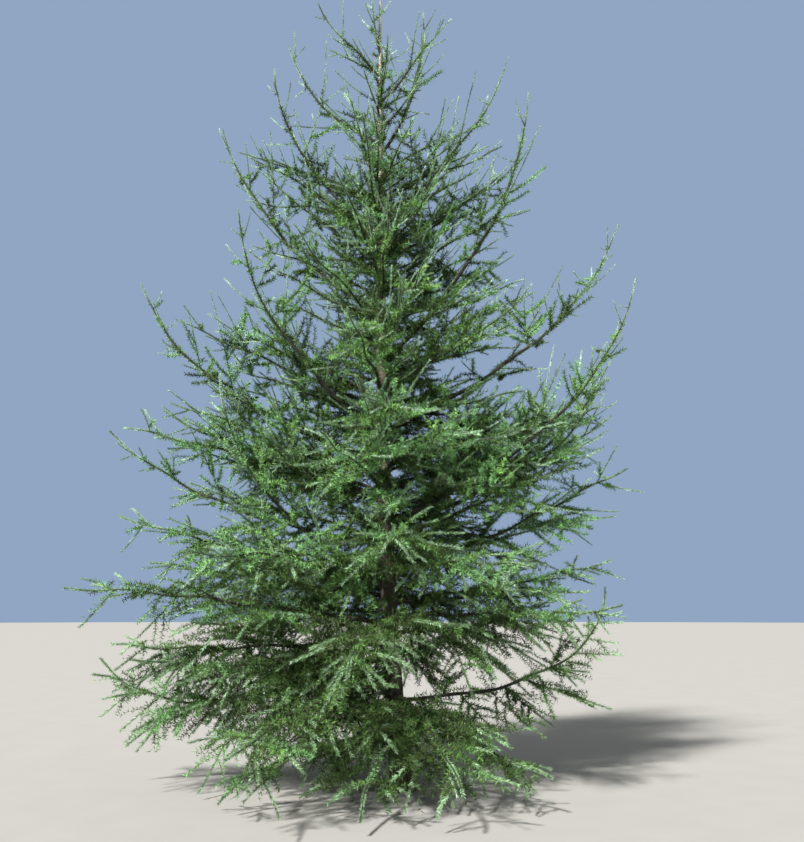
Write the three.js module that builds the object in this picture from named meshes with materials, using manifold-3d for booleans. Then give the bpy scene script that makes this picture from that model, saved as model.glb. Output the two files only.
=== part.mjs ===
// A young open-grown tamarack, about 8.3 m tall, as separate solids: the
// trunk, the heavy boughs and one mass of foliage for each bough.
//
// Millimetres, +Z up. The origin is the middle of the trunk's flat cut at
// ground level. Turns are degrees round +Z from +X, so 270 faces -Y.

import * as THREE from 'three';
import { mergeVertices } from 'three/addons/utils/BufferGeometryUtils.js';
import Module from 'manifold-3d';

// Trunk
const TREE_HEIGHT = 8300;
const TRUNK_BASE_RADIUS = 92;
const TRUNK_TIP_RADIUS = 5;
const TRUNK_TAPER = 0.95;
const FLARE_WIDTH = 40;
const FLARE_HEIGHT = 150;
const FLARE_LOBES = 5;
const FLARE_LOBE_DEPTH = 0.22;
const LEAN = 250;
const LEAN_HEIGHT = 2400;
const SWAY = 30;
const SWAY_LENGTH = 7000;
const TRUNK_RING_CROWDING = 1.8;
const TRUNK_RINGS = 22;
const TRUNK_SIDES = 10;

// Boughs
const BOUGH_ROOT_RADIUS = 5;
const BOUGH_RADIUS_PER_METRE = 6;
const BOUGH_TIP_RADIUS = 3.2;
const BOUGH_TAPER = 0.9;
const BOUGH_HANDLE = 0.36;
const COLLAR_SWELL = 0.35;
const COLLAR_LENGTH = 0.035;
const LIMB_SHARE = 0.28;
const LIMB_SIDES = 6;
const LIMB_RINGS = 6;
const SEAT_GAP = 0.35;

// Foliage stems
const STEM_SIDES = 3;
const STEM_SWELL = 1.2;
const STEM_RINGS = 5;
const STEM_WHIP_START = 0.88;

// Where the side sprays stand on a stem and which way they set off, in
// degrees. High boughs lift their sprays and low ones let them hang.
const BARE_SHARE = 0.1;
const LIMB_MARGIN = 0.03;
const LEAFY_END = 0.93;
const SPRAY_SPACING = 345;
const FEWEST_SPRAYS = 4;
const MOST_SPRAYS = 8;
const FIRST_SPRAY = 0.2;
const SPRAY_SCATTER = 0.5;
const FORK_ANGLE = 44;
const FORK_SCATTER = 16;
const LOW_TILT = -22;
const TILT_GAIN = 38;
const TILT_STEPS = 5;
const TILT_SPREAD = 42;
const TILT_SCATTER = 24;
const ROLL_SCATTER = 150;
const LOW_TIP_HEIGHT = 1200;
const HIGH_TIP_RISE = 3500;

// How long the sprays are and how they bend.
const SPRAY_SHARE = 0.42;
const SHORTEST_SPREAD = 460;
const LONGEST_SPREAD = 1150;
const INNER_LENGTH = 0.62;
const SWELL_RATE = 1.3;
const TIP_SHORTENING = 0.5;
const LENGTH_SCATTER = 0.3;
const LOW_BEND = -0.35;
const BEND_GAIN = 0.75;
const BEND_SCATTER = 0.8;
const FORWARD_SWING = 0.3;

// The toothed blade that stands for a spray of needles
const BLADE_HALF_WIDTH = 0.3;
const BLADE_TWIST = 50;
const BLADE_THICKNESS = 0.013;
const THINNEST_BLADE = 6;
const BLADE_CORE = 0.03;
const BLADE_ROOT = 0.3;
const TEETH_START = 0.04;
const WHIP_START = 0.74;
const TOOTH_LEAD = 0.45;
const WIDEST_TOOTH_SHIFT = 0.9;
const END_TOOTH_WIDTH = 0.6;
const TANGENT_STEP = 0.01;
const TOOTH_UNEVENNESS = 0.4;
const FEW_TEETH = 2;
const MANY_TEETH = 3;
const LONG_BLADE = 660;

// The room that a spray must leave to its neighbours and to the ground
const CLEARANCE = 2;
const LOWEST_TIP = 25;
const TRIAL_LENGTHS = [1, 0.8, 0.62];

const WELD_DISTANCE = 1e-4;

// Every bough: where it leaves the trunk, which way it turns, how far out
// and up its tip lies, and the slope it leaves and ends with, in degrees.
// The heavy ones have a bare limb that carries their foliage.
const BOUGHS = [
  { height: 5300, turn: 190, reach: 1150, rise: 1950, leave: 48, end: 88, limb: true },
  { height: 4600, turn: 174, reach: 1800, rise: 2160, leave: 28, end: 66, limb: true },
  { height: 4050, turn: 2, reach: 1580, rise: 3100, leave: 46, end: 86, limb: true },
  { height: 3210, turn: 215, reach: 1650, rise: 2100, leave: 38, end: 88, limb: true },
  { height: 3030, turn: 178, reach: 2550, rise: 1950, leave: 22, end: 70, limb: true },
  { height: 3350, turn: 8, reach: 2580, rise: 2400, leave: 28, end: 70, limb: true },
  { height: 2450, turn: 350, reach: 2500, rise: 2350, leave: 22, end: 76, limb: true },
  { height: 1950, turn: 202, reach: 1700, rise: 1850, leave: 15, end: 86, limb: true },
  { height: 2250, turn: 176, reach: 2850, rise: 1150, leave: 8, end: 40, limb: true },
  { height: 800, turn: 8, reach: 2120, rise: 1050, leave: 0, end: 88, limb: true },
  { height: 7550, turn: 215, reach: 120, rise: 690, leave: 70, end: 85 },
  { height: 7400, turn: 85, reach: 450, rise: 560, leave: 45, end: 65 },
  { height: 7300, turn: 205, reach: 720, rise: 680, leave: 38, end: 62 },
  { height: 7000, turn: 352, reach: 780, rise: 950, leave: 38, end: 45 },
  { height: 6950, turn: 278, reach: 620, rise: 420, leave: 30, end: 45 },
  { height: 6700, turn: 130, reach: 750, rise: 820, leave: 35, end: 60 },
  { height: 6500, turn: 176, reach: 1020, rise: 1220, leave: 25, end: 75 },
  { height: 6350, turn: 18, reach: 500, rise: 1850, leave: 58, end: 92 },
  { height: 5950, turn: 252, reach: 950, rise: 550, leave: 30, end: 35 },
  { height: 5850, turn: 100, reach: 1050, rise: 950, leave: 35, end: 60 },
  { height: 5600, turn: 338, reach: 1380, rise: 1420, leave: 30, end: 65 },
  { height: 5100, turn: 300, reach: 1250, rise: 600, leave: 30, end: 35 },
  { height: 5050, turn: 125, reach: 1400, rise: 1000, leave: 30, end: 55 },
  { height: 4500, turn: 48, reach: 1700, rise: 1100, leave: 30, end: 50 },
  { height: 4400, turn: 238, reach: 1450, rise: 600, leave: 30, end: 30 },
  { height: 4000, turn: 278, reach: 1500, rise: 400, leave: 30, end: 25 },
  { height: 3850, turn: 140, reach: 1950, rise: 950, leave: 25, end: 45 },
  { height: 3750, turn: 322, reach: 1750, rise: 750, leave: 25, end: 40 },
  { height: 3450, turn: 85, reach: 2000, rise: 850, leave: 25, end: 45 },
  { height: 2950, turn: 292, reach: 1850, rise: 250, leave: 20, end: 15 },
  { height: 2800, turn: 52, reach: 2300, rise: 800, leave: 20, end: 40 },
  { height: 2750, turn: 255, reach: 1900, rise: 250, leave: 18, end: 10 },
  { height: 2650, turn: 125, reach: 2300, rise: 700, leave: 20, end: 40 },
  { height: 2050, turn: 14, reach: 2620, rise: 1050, leave: 8, end: 25 },
  { height: 2000, turn: 228, reach: 2350, rise: 50, leave: 12, end: 0 },
  { height: 1950, turn: 305, reach: 2050, rise: 0, leave: 12, end: -5 },
  { height: 1750, turn: 88, reach: 2400, rise: 350, leave: 5, end: 20 },
  { height: 1600, turn: 142, reach: 2600, rise: 250, leave: 5, end: 20 },
  { height: 1550, turn: 338, reach: 2200, rise: 100, leave: 6, end: 10 },
  { height: 1500, turn: 198, reach: 2950, rise: 300, leave: 6, end: 0 },
  { height: 1450, turn: 262, reach: 2100, rise: -300, leave: 8, end: -25 },
  { height: 1400, turn: 42, reach: 2400, rise: 350, leave: 5, end: 25 },
  { height: 1050, turn: 176, reach: 2850, rise: 100, leave: -8, end: 45 },
  { height: 950, turn: 240, reach: 2350, rise: -400, leave: -2, end: -25 },
  { height: 850, turn: 285, reach: 2000, rise: -550, leave: -2, end: -30 },
  { height: 700, turn: 100, reach: 2200, rise: -100, leave: -2, end: 10 },
  { height: 600, turn: 262, reach: 1850, rise: -470, leave: 2, end: -20 },
  { height: 550, turn: 315, reach: 1750, rise: -250, leave: 2, end: -15 },
  { height: 500, turn: 222, reach: 1900, rise: -250, leave: 0, end: -15 },
];

const barkMaterial = new THREE.MeshStandardMaterial({
  color: 0x6b5546, roughness: 0.9, metalness: 0,
});
const needleMaterial = new THREE.MeshStandardMaterial({
  color: 0x6f8a5c, roughness: 0.65, metalness: 0,
});

const wasm = await Module();
wasm.setup();

// Seeded numbers from 0 to 1, the same on every run.
function randomNumbers(seed) {
  let state = (seed * 7919 + 17) >>> 0;
  return () => {
    state = (Math.imul(state, 1664525) + 1013904223) >>> 0;
    return state / 4294967296;
  };
}

function radians(degrees) {
  return THREE.MathUtils.degToRad(degrees);
}

// Two faces for a four-cornered patch, split along the diagonal that bulges
// outwards, so that a twisted skin never folds through itself.
function patchFaces(points, a, b, c, d) {
  const side = points[b].clone().sub(points[a]);
  const diagonal = points[c].clone().sub(points[a]);
  const rise = points[d].clone().sub(points[a]);
  return side.cross(diagonal).dot(rise) > 0 ? [a, b, d, b, c, d] : [a, b, c, a, c, d];
}

// Joins rings of points into one closed skin. Each ring runs anticlockwise
// seen from the far end; an apex closes that end to a point.
function loft(rings, apex = null) {
  const sides = rings[0].length;
  const points = rings.flat();
  const faces = [];
  const last = (rings.length - 1) * sides;
  for (let start = 0; start < last; start += sides) {
    for (let side = 0; side < sides; side += 1) {
      const a = start + side;
      const b = start + ((side + 1) % sides);
      faces.push(...patchFaces(points, a, b, b + sides, a + sides));
    }
  }
  for (let side = 1; side + 1 < sides; side += 1) {
    faces.push(0, side + 1, side);
    if (!apex) faces.push(last, last + side, last + side + 1);
  }
  if (apex) {
    points.push(apex);
    for (let side = 0; side < sides; side += 1) {
      faces.push(last + side, last + ((side + 1) % sides), points.length - 1);
    }
  }
  const geometry = new THREE.BufferGeometry().setFromPoints(points);
  geometry.setIndex(faces);
  return geometry;
}

function solidOf(geometry) {
  const merged = mergeVertices(geometry, WELD_DISTANCE);
  return new wasm.Manifold(new wasm.Mesh({
    numProp: 3,
    vertProperties: new Float32Array(merged.attributes.position.array),
    triVerts: new Uint32Array(merged.index.array),
  }));
}

function geometryOf(solid) {
  const mesh = solid.getMesh();
  const geometry = new THREE.BufferGeometry();
  geometry.setAttribute('position', new THREE.BufferAttribute(mesh.vertProperties, 3));
  geometry.setIndex(new THREE.BufferAttribute(mesh.triVerts, 1));
  return geometry;
}

// The largest piece of a solid, without loose scraps and sealed hollows.
function largestPiece(solid) {
  const pieces = solid.decompose();
  pieces.sort((a, b) => b.volume() - a.volume());
  return pieces[0];
}

// Trunk: its centre line leans and sways a little, and its foot flares.
function trunkCentre(height) {
  const lean = -LEAN * (1 - Math.exp(-height / LEAN_HEIGHT));
  const sway = SWAY * Math.sin((2 * Math.PI * height) / SWAY_LENGTH);
  return new THREE.Vector3(lean, sway, height);
}

function trunkRadius(height, angle) {
  const stem = TRUNK_BASE_RADIUS * (1 - height / TREE_HEIGHT) ** TRUNK_TAPER;
  const lobes = 1 + FLARE_LOBE_DEPTH * Math.cos(FLARE_LOBES * angle);
  const flare = FLARE_WIDTH * lobes * Math.exp(-height / FLARE_HEIGHT);
  return TRUNK_TIP_RADIUS + stem + flare;
}

// The rings crowd together at the flare and spread out above it.
function trunkSolid(extra) {
  const rings = [];
  for (let row = 0; row <= TRUNK_RINGS; row += 1) {
    const height = TREE_HEIGHT * (row / TRUNK_RINGS) ** TRUNK_RING_CROWDING;
    const centre = trunkCentre(height);
    const ring = [];
    for (let side = 0; side < TRUNK_SIDES; side += 1) {
      const angle = (2 * Math.PI * side) / TRUNK_SIDES;
      const radius = trunkRadius(height, angle) + extra;
      ring.push(new THREE.Vector3(
        centre.x + radius * Math.cos(angle),
        centre.y + radius * Math.sin(angle),
        height,
      ));
    }
    rings.push(ring);
  }
  return solidOf(loft(rings));
}

// A bough's centre line, from inside the trunk to its furthest tip.
function boughCurve(bough) {
  const root = trunkCentre(bough.height);
  const turn = radians(bough.turn);
  const out = new THREE.Vector3(Math.cos(turn), Math.sin(turn), 0);
  const up = new THREE.Vector3(0, 0, 1);
  const tip = root.clone().addScaledVector(out, bough.reach).addScaledVector(up, bough.rise);
  const handle = BOUGH_HANDLE * Math.hypot(bough.reach, bough.rise);
  const slope = (degrees) => out.clone().multiplyScalar(Math.cos(radians(degrees)))
    .addScaledVector(up, Math.sin(radians(degrees)));
  const first = root.clone().addScaledVector(slope(bough.leave), handle);
  const second = tip.clone().addScaledVector(slope(bough.end), -handle);
  return new THREE.CubicBezierCurve3(root, first, second, tip);
}

// The frame at a point of a bough: along it, level across it, and above it.
function boughFrame(bough, curve, share) {
  const turn = radians(bough.turn);
  const along = curve.getTangent(share);
  const across = new THREE.Vector3(-Math.sin(turn), Math.cos(turn), 0);
  const above = along.clone().cross(across);
  return { point: curve.getPoint(share), along, across, above };
}

function boughRadius(bough, share) {
  const metres = Math.hypot(bough.reach, bough.rise) / 1000;
  const root = BOUGH_ROOT_RADIUS + BOUGH_RADIUS_PER_METRE * metres;
  const collar = 1 + COLLAR_SWELL * Math.exp(-share / COLLAR_LENGTH);
  return BOUGH_TIP_RADIUS + (root - BOUGH_TIP_RADIUS) * collar * (1 - share) ** BOUGH_TAPER;
}

function roundRing(frame, radius, sides) {
  const ring = [];
  for (let side = 0; side < sides; side += 1) {
    const angle = (2 * Math.PI * (side + 0.5)) / sides;
    ring.push(frame.point.clone()
      .addScaledVector(frame.across, radius * Math.cos(angle))
      .addScaledVector(frame.above, radius * Math.sin(angle)));
  }
  return ring;
}

// The bare, tapering part of a heavy bough, up to where its foliage starts.
function limbSolid(bough, curve, trunkSpace) {
  const rings = [];
  for (let row = 0; row < LIMB_RINGS; row += 1) {
    const share = (LIMB_SHARE * row) / (LIMB_RINGS - 1);
    rings.push(roundRing(boughFrame(bough, curve, share), boughRadius(bough, share), LIMB_SIDES));
  }
  return largestPiece(solidOf(loft(rings)).subtract(trunkSpace));
}

// The stem of a mass of foliage runs on to the bough's furthest tip.
function stemSolid(bough, curve, trunkSpace) {
  const start = bough.limb ? LIMB_SHARE : 0;
  const rings = [];
  for (let row = 0; row < STEM_RINGS; row += 1) {
    const share = start + (STEM_WHIP_START - start) * (row / (STEM_RINGS - 1));
    const frame = boughFrame(bough, curve, share);
    if (bough.limb && row === 0) frame.point.addScaledVector(frame.along, SEAT_GAP);
    rings.push(roundRing(frame, STEM_SWELL * boughRadius(bough, share), STEM_SIDES));
  }
  const stem = solidOf(loft(rings, curve.getPoint(1)));
  return bough.limb ? stem : largestPiece(stem.subtract(trunkSpace));
}

// How long the side sprays are, from a stem's inner end to its tip.
function sprayProfile(inner) {
  const swell = Math.sin(Math.PI * Math.min(1, SWELL_RATE * inner));
  return (INNER_LENGTH + (1 - INNER_LENGTH) * swell) * (1 - TIP_SHORTENING * inner);
}

// The sprays of one mass, by the seeded rule: alternately left and right,
// turned up and down by steps, slanting forward.
function spraysOf(bough, curve, seed) {
  const random = randomNumbers(seed);
  const scatter = (width) => width * (random() - 0.5);
  const { clamp } = THREE.MathUtils;
  const start = bough.limb ? LIMB_SHARE + LIMB_MARGIN : BARE_SHARE;
  const boughLength = curve.getLength();
  const wanted = Math.round(((1 - start) * boughLength) / SPRAY_SPACING) + 1;
  const count = clamp(wanted, FEWEST_SPRAYS, MOST_SPRAYS);
  const spread = clamp(SPRAY_SHARE * boughLength, SHORTEST_SPREAD, LONGEST_SPREAD);
  const high = clamp((bough.height + bough.rise - LOW_TIP_HEIGHT) / HIGH_TIP_RISE, 0, 1);
  const sprays = [];
  for (let number = 0; number < count; number += 1) {
    const inner = (number + FIRST_SPRAY + SPRAY_SCATTER * random()) / count;
    const share = start + (LEAFY_END - start) * inner;
    const fork = radians(FORK_ANGLE + FORK_SCATTER * random());
    const turnUp = (2 * ((number * 2) % TILT_STEPS)) / (TILT_STEPS - 1) - 1;
    const level = LOW_TILT + TILT_GAIN * high + TILT_SPREAD * turnUp;
    const tilt = radians(level + scatter(TILT_SCATTER));
    const roll = radians(scatter(ROLL_SCATTER));
    const length = spread * sprayProfile(inner) * (1 + scatter(LENGTH_SCATTER));
    const bend = (LOW_BEND + BEND_GAIN * high) * (1 + scatter(BEND_SCATTER));
    const uneven = scatter(1);
    const twist = radians(2 * scatter(BLADE_TWIST));
    const side = number % 2 === 0 ? 1 : -1;
    const frame = boughFrame(bough, curve, share);
    const sideways = frame.across.clone().multiplyScalar(side * Math.cos(tilt))
      .addScaledVector(frame.above, Math.sin(tilt));
    const direction = frame.along.clone().multiplyScalar(Math.cos(fork))
      .addScaledVector(sideways, Math.sin(fork));
    const flat = frame.above.clone().multiplyScalar(Math.cos(roll))
      .addScaledVector(frame.across, Math.sin(roll));
    sprays.push({
      root: frame.point,
      rootRadius: BLADE_ROOT * boughRadius(bough, share),
      along: frame.along,
      direction,
      width: flat.cross(direction).normalize(),
      length,
      bend,
      uneven,
      twist,
    });
  }
  return sprays;
}

// A spray's centre line: it sets off sideways, then swings forward and
// bends up or down.
function sprayPoint(spray, length, share) {
  const swing = 0.5 * share * share * length;
  return spray.root.clone()
    .addScaledVector(spray.direction, share * length)
    .addScaledVector(spray.along, FORWARD_SWING * swing)
    .add(new THREE.Vector3(0, 0, spray.bend * swing));
}

// One ring of a blade: its right edge, its ridge and its left edge. The
// edges run ahead of the ridge by lead, so that the teeth point forward.
function bladeRing(spray, length, share, lead, right, left, ridge) {
  const edge = sprayPoint(spray, length, share + lead);
  const spine = sprayPoint(spray, length, share);
  const axis = sprayPoint(spray, length, share + TANGENT_STEP).sub(spine).normalize();
  const width = spray.width.clone().applyAxisAngle(axis, spray.twist * share);
  const top = axis.cross(width);
  return [
    edge.clone().addScaledVector(width, right),
    spine.clone().addScaledVector(top, ridge),
    edge.clone().addScaledVector(width, -left),
  ];
}

// A spray of needles as one toothed blade. Its section is a low triangle,
// its teeth are side twigs, and it ends in a whip.
function bladeSolid(spray, scale) {
  const length = spray.length * scale;
  const teeth = length > LONG_BLADE ? MANY_TEETH : FEW_TEETH;
  const step = (WHIP_START - TEETH_START) / teeth;
  const lead = TOOTH_LEAD * step;
  const core = BLADE_CORE * length;
  const ridge = Math.max(THINNEST_BLADE, BLADE_THICKNESS * length);
  const foot = spray.rootRadius;
  const rings = [bladeRing(spray, length, 0, 0, foot, foot, foot)];
  for (let number = 0; number < teeth; number += 1) {
    const share = TEETH_START + step * number;
    const bulge = Math.sin((Math.PI * (number + WIDEST_TOOTH_SHIFT)) / (teeth + END_TOOTH_WIDTH));
    const half = BLADE_HALF_WIDTH * length * bulge;
    const right = half * (1 - TOOTH_UNEVENNESS * spray.uneven);
    const left = half * (1 + TOOTH_UNEVENNESS * spray.uneven);
    rings.push(bladeRing(spray, length, share + lead, lead, right, left, ridge));
    rings.push(bladeRing(spray, length, share + step, 0, core, core, ridge));
  }
  return solidOf(loft(rings, sprayPoint(spray, length, 1)));
}

function boxesNear(a, b, distance) {
  const first = a.boundingBox();
  const second = b.boundingBox();
  return [0, 1, 2].every((axis) => first.min[axis] - distance < second.max[axis]
    && second.min[axis] - distance < first.max[axis]);
}

function isClear(solid, others) {
  if (solid.boundingBox().min[2] < LOWEST_TIP) return false;
  return others.every((other) => !boxesNear(solid, other, CLEARANCE)
    || solid.minGap(other, CLEARANCE) >= CLEARANCE);
}

// One mass of foliage: its stem and the sprays that find room on it.
function massSolid(stem, sprays, others) {
  const parts = [stem];
  for (const spray of sprays) {
    const fits = TRIAL_LENGTHS.map((scale) => bladeSolid(spray, scale));
    const blade = fits.find((candidate) => isClear(candidate, others));
    if (blade) parts.push(blade);
  }
  return largestPiece(wasm.Manifold.union(parts));
}

function addNode(tree, name, solid, material) {
  const mesh = new THREE.Mesh(geometryOf(solid), material);
  mesh.name = name;
  tree.add(mesh);
}

function buildTree() {
  const tree = new THREE.Group();
  tree.name = 'tamarack';
  const trunk = trunkSolid(0);
  const trunkSpace = trunkSolid(SEAT_GAP);
  const curves = BOUGHS.map(boughCurve);
  const stems = BOUGHS.map((bough, index) => stemSolid(bough, curves[index], trunkSpace));
  const limbs = BOUGHS.map((bough, index) => (
    bough.limb ? limbSolid(bough, curves[index], trunkSpace) : null));
  const limbSolids = limbs.filter((limb) => limb);

  addNode(tree, 'trunk', trunk, barkMaterial);
  limbs.forEach((limb, index) => {
    const number = String(index + 1).padStart(2, '0');
    if (limb) addNode(tree, `bough_${number}`, limb, barkMaterial);
  });

  const masses = [...stems];
  BOUGHS.forEach((bough, index) => {
    const others = [trunk, ...limbSolids, ...masses.filter((mass) => mass !== masses[index])];
    const sprays = spraysOf(bough, curves[index], index + 1);
    masses[index] = massSolid(stems[index], sprays, others);
    const number = String(index + 1).padStart(2, '0');
    addNode(tree, `foliage_${number}`, masses[index], needleMaterial);
  });
  return tree;
}

export default buildTree();
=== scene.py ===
# A young tamarack: a trunk with bark plates, boughs, side shoots and twigs
# grown by one seeded rule, and needles in tufts, dealt out in six tints.
# Metres, +Z up, the origin at the middle of the trunk's cut at ground level.

import functools
import math

import bpy
import numpy as np
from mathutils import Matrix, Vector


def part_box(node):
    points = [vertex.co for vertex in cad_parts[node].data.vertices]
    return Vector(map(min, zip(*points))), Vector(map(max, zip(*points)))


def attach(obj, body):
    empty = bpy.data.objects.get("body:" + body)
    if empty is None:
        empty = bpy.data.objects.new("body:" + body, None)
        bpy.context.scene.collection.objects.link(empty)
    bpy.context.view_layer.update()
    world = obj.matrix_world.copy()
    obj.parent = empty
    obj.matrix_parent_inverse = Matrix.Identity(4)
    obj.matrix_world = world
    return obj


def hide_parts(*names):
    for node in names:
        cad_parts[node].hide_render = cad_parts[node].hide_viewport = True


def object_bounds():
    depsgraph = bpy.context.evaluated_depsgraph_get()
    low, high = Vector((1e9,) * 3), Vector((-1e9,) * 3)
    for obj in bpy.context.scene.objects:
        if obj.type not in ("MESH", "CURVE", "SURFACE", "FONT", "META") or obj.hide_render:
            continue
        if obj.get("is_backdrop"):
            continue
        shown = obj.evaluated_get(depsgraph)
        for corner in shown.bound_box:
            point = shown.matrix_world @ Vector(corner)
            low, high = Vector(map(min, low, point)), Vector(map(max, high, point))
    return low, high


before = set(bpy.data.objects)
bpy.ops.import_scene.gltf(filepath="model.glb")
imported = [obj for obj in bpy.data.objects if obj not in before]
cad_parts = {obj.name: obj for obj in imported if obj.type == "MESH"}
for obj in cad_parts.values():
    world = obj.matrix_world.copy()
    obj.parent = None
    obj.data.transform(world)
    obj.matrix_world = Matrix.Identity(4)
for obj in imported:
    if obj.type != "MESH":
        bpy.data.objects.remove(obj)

bl_info = {
    "name": "Tamarack Tree",
    "version": (1, 0, 0),
    "blender": (4, 5, 0),
    "location": "3D View > Sidebar > Tamarack",
    "description": "Grows a young open-grown tamarack around its packed model",
    "category": "Object",
}

UP = np.array([0.0, 0.0, 1.0])
GOLDEN_ANGLE = math.pi * (3 - math.sqrt(5))

LOW_CORNER, HIGH_CORNER = (np.array(corner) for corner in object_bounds())
TREE_HEIGHT = float(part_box("trunk")[1][2])
FOLIAGE_NODES = sorted(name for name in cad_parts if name.startswith("foliage_"))
BOUGH_NODES = sorted(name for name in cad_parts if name.startswith("bough_"))

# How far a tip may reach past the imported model's box, the most triangles in a
# piece of needles, and the seeds of the random draws
EDGE_ALLOWANCE = 0.02
MOST_TRIANGLES = 180000
TREE_SEED = 2520
NEEDLE_SEED = 77
FULLNESS_SEED = 31
WOBBLE_SEED = 61

# A pair of the numbers below is a start and a gain where rising() uses it, and
# two ends elsewhere.

# Trunk, and the bark plates on it
TRUNK_BASE_RADIUS = 0.092
TRUNK_TIP_RADIUS = 0.005
TRUNK_TAPER = 0.95
FLARE_WIDTH = 0.040
FLARE_HEIGHT = 0.150
FLARE_LOBES = 5
FLARE_LOBE_DEPTH = 0.22
LEAN = 0.250
LEAN_HEIGHT = 2.400
SWAY = 0.030
SWAY_LENGTH = 7.000
RING_CROWDING = 1.25
LEADER_TIP = 0.02
PLATE_TALLNESS = 1.6
PLATE_LEVEL = 0.8
PLATE_CRACK = 0.35
PLATE_FAR_OFF = 9.0

# Boughs
BOUGH_ROOT = (0.005, 0.006)
BOUGH_TIP_RADIUS = 0.0032
BOUGH_TAPER = 0.9
BOUGH_HANDLE = 0.36
BOUGH_SWAY = 0.014
BOUGH_WAVE = 0.85
BOUGH_RISE_WAVES = 1.3
BOUGH_SWAY_ONSET = 4
BOUGH_WOBBLE = 0.05
LENGTH_SAMPLES = 201
COLLAR_SWELL = 0.35
COLLAR_LENGTH = 0.035
LIMB_SHARE = 0.28

# Where the side shoots stand on a bough and which way they set off
BARE_SHARE = 0.1
LIMB_MARGIN = 0.03
LEAFY_END = 0.93
SPRAY_SPACING = 0.345
FEWEST_SPRAYS = 4
MOST_SPRAYS = 8
FIRST_SPRAY = 0.2
SPRAY_SCATTER = 0.5
FORK_ANGLE = 44
FORK_SCATTER = 16
TILT = (-22, 38)
TILT_STEPS = 5
TILT_SPREAD = 42
TILT_SCATTER = 24
ROLL_SCATTER = 150
LOW_TIP_HEIGHT = 1.2
HIGH_TIP_RISE = 3.5

# How long the side shoots are and how they bend
LIMB_SHOOT_SHARE = 0.95
LIMB_SHORTENING = 0.45
SPRAY_SHARE = 0.42
SHORTEST_SPREAD = 0.46
LONGEST_SPREAD = 1.15
INNER_LENGTH = 0.62
SWELL_RATE = 1.3
TIP_SHORTENING = 0.5
LENGTH_SCATTER = 0.3
BEND = (-0.35, 0.75)
BEND_SCATTER = 0.8
FORWARD_SWING = 0.3
HALF_WIDTH = 0.3
TWIST = 50

# The finer shoots between the main ones, down to the limb's inner end, and
# sparser on boughs that start high
FINE_SPACING = (0.11, 0.10)
SPARSE_FROM = 6.2
SPARSE_TO = 7.4
FINE_START = 0.07
FINE_END = 0.93
FINE_LENGTHS = (0.5, 1.0)
FINE_FORK = 24
FINE_TILT_SPREAD = (36, 42)
FINE_TIP_GAIN = 0.6
FINE_ROLL_SCATTER = 70
FINE_SAG = 0.32
FINE_LIFT = 0.10
FINE_FLATNESS = (0.20, 0.40)
LOWEST_SHOOT_TIP = 0.05

# Scattered boughs between the main ones: reach, rise and slopes by their height
LESSER_BOUGHS = 26
LESSER_HEIGHTS = (1.5, 6.4)
LESSER_CROWDING = 0.8
LESSER_REACH = 0.75
CROWN_REACH = 2.55
CROWN_WIDEST = 1.5
CROWN_TAPER = 0.36
SKIRT_TAPER = 0.5
LESSER_TURN_SCATTER = 40
LESSER_REACH_SCATTER = 0.35
LESSER_RISE = (-0.20, 0.12)
LESSER_RISE_SCATTER = 0.25
LESSER_SLOPE = (2, 5)
LESSER_END_SCATTER = 30

# Short shoots that spring from the trunk between the boughs
TRUNK_SHOOTS = 185
TRUNK_SHOOT_HEIGHTS = (1.5, 7.3)
TRUNK_SHOOT_LENGTH = 0.8
TRUNK_SHOOT_SHORTENING = 0.6
TRUNK_SHOOT_SPREAD = (0.3, 0.9)
TRUNK_SHOOT_TURN_SCATTER = 1.2
TRUNK_SHOOT_SLOPE = (8, 50)
TRUNK_SHOOT_SLOPE_SCATTER = 36
TRUNK_SHOOT_BEND = (-0.25, 0.5)
TRUNK_SHOOT_BEND_SCATTER = 0.4
TRUNK_SHOOT_ROLL_SCATTER = 2.4
TRUNK_SHOOT_TWIST_SCATTER = 1.5
# Their low share also deals these shoots the dark shade and deep tints, as painted shade in the
# hollow core
TRUNK_SHOOT_SHARE = 0.45
TRUNK_SHOOT_RADIUS = 0.012
TRUNK_SHOOT_SWING = 0.5

# Twigs on the side shoots: each a share of its shoot's length, by an outline
# that is widest a third of the way along
TWIG_SPACING = 0.052
TWIG_START = 0.05
TWIG_PLACES = (0.15, 0.85)
TWIG_FORK = 52
TWIG_FORK_SCATTER = 7
TWIG_LIFT_SCATTER = 0.5
TWIG_LENGTHS = (0.7, 1.2)
TWIG_SHORTEST = 0.06
TWIG_SHORTEST_LENGTHS = (0.8, 1.3)
TWIG_BEND_SHARE = 0.5
TWIG_SAG = -0.15
TWIG_HANG_SCATTER = 0.25
TWIG_FORWARD_SWING = 0.7
LOWEST_TWIG_TIP = 0.04
LEVEL_SHARE = 0.5
OUTLINE = (0.22, 0.80)
OUTLINE_POWER = 0.7

# How thick the side shoots and twigs are, and in how many rings and sides
SHOOT_TO_BOUGH = 0.8
SHOOT_RADIUS = (0.0022, 0.0055)
SHOOT_TIP_RADIUS = 0.0012
SHOOT_RINGS = 6
TWIG_THICKEST = 0.0028
TWIG_RADIUS = (0.0014, 0.006)
TWIG_TIP_RADIUS = 0.001
TWIG_SIDES = 3
LONG_TWIG = 0.2
LONG_TWIG_RINGS = 3
SHORT_TWIG_RINGS = 2

# This year's whips, which end the side shoots and bear no twigs
WHIP_LENGTH = (0.28, 0.16)
HIGH_WHIP_GAIN = 1.6
WHIPS_FROM = 0.7
LOW_WHIPS_BELOW = 1.6
LOW_WHIP_SHORTENING = 0.6
LONGEST_WHIP = (0.50, 0.95)

# How the crown thins: from one height up to another, most of all far out from
# the trunk up there, and on boughs that reach high
THIN_FROM = 5.2
THIN_TO = 7.1
THINNEST = (0.40, 0.03)
FAR_OUT = 0.85
HIGH_THINNING = 0.45

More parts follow.
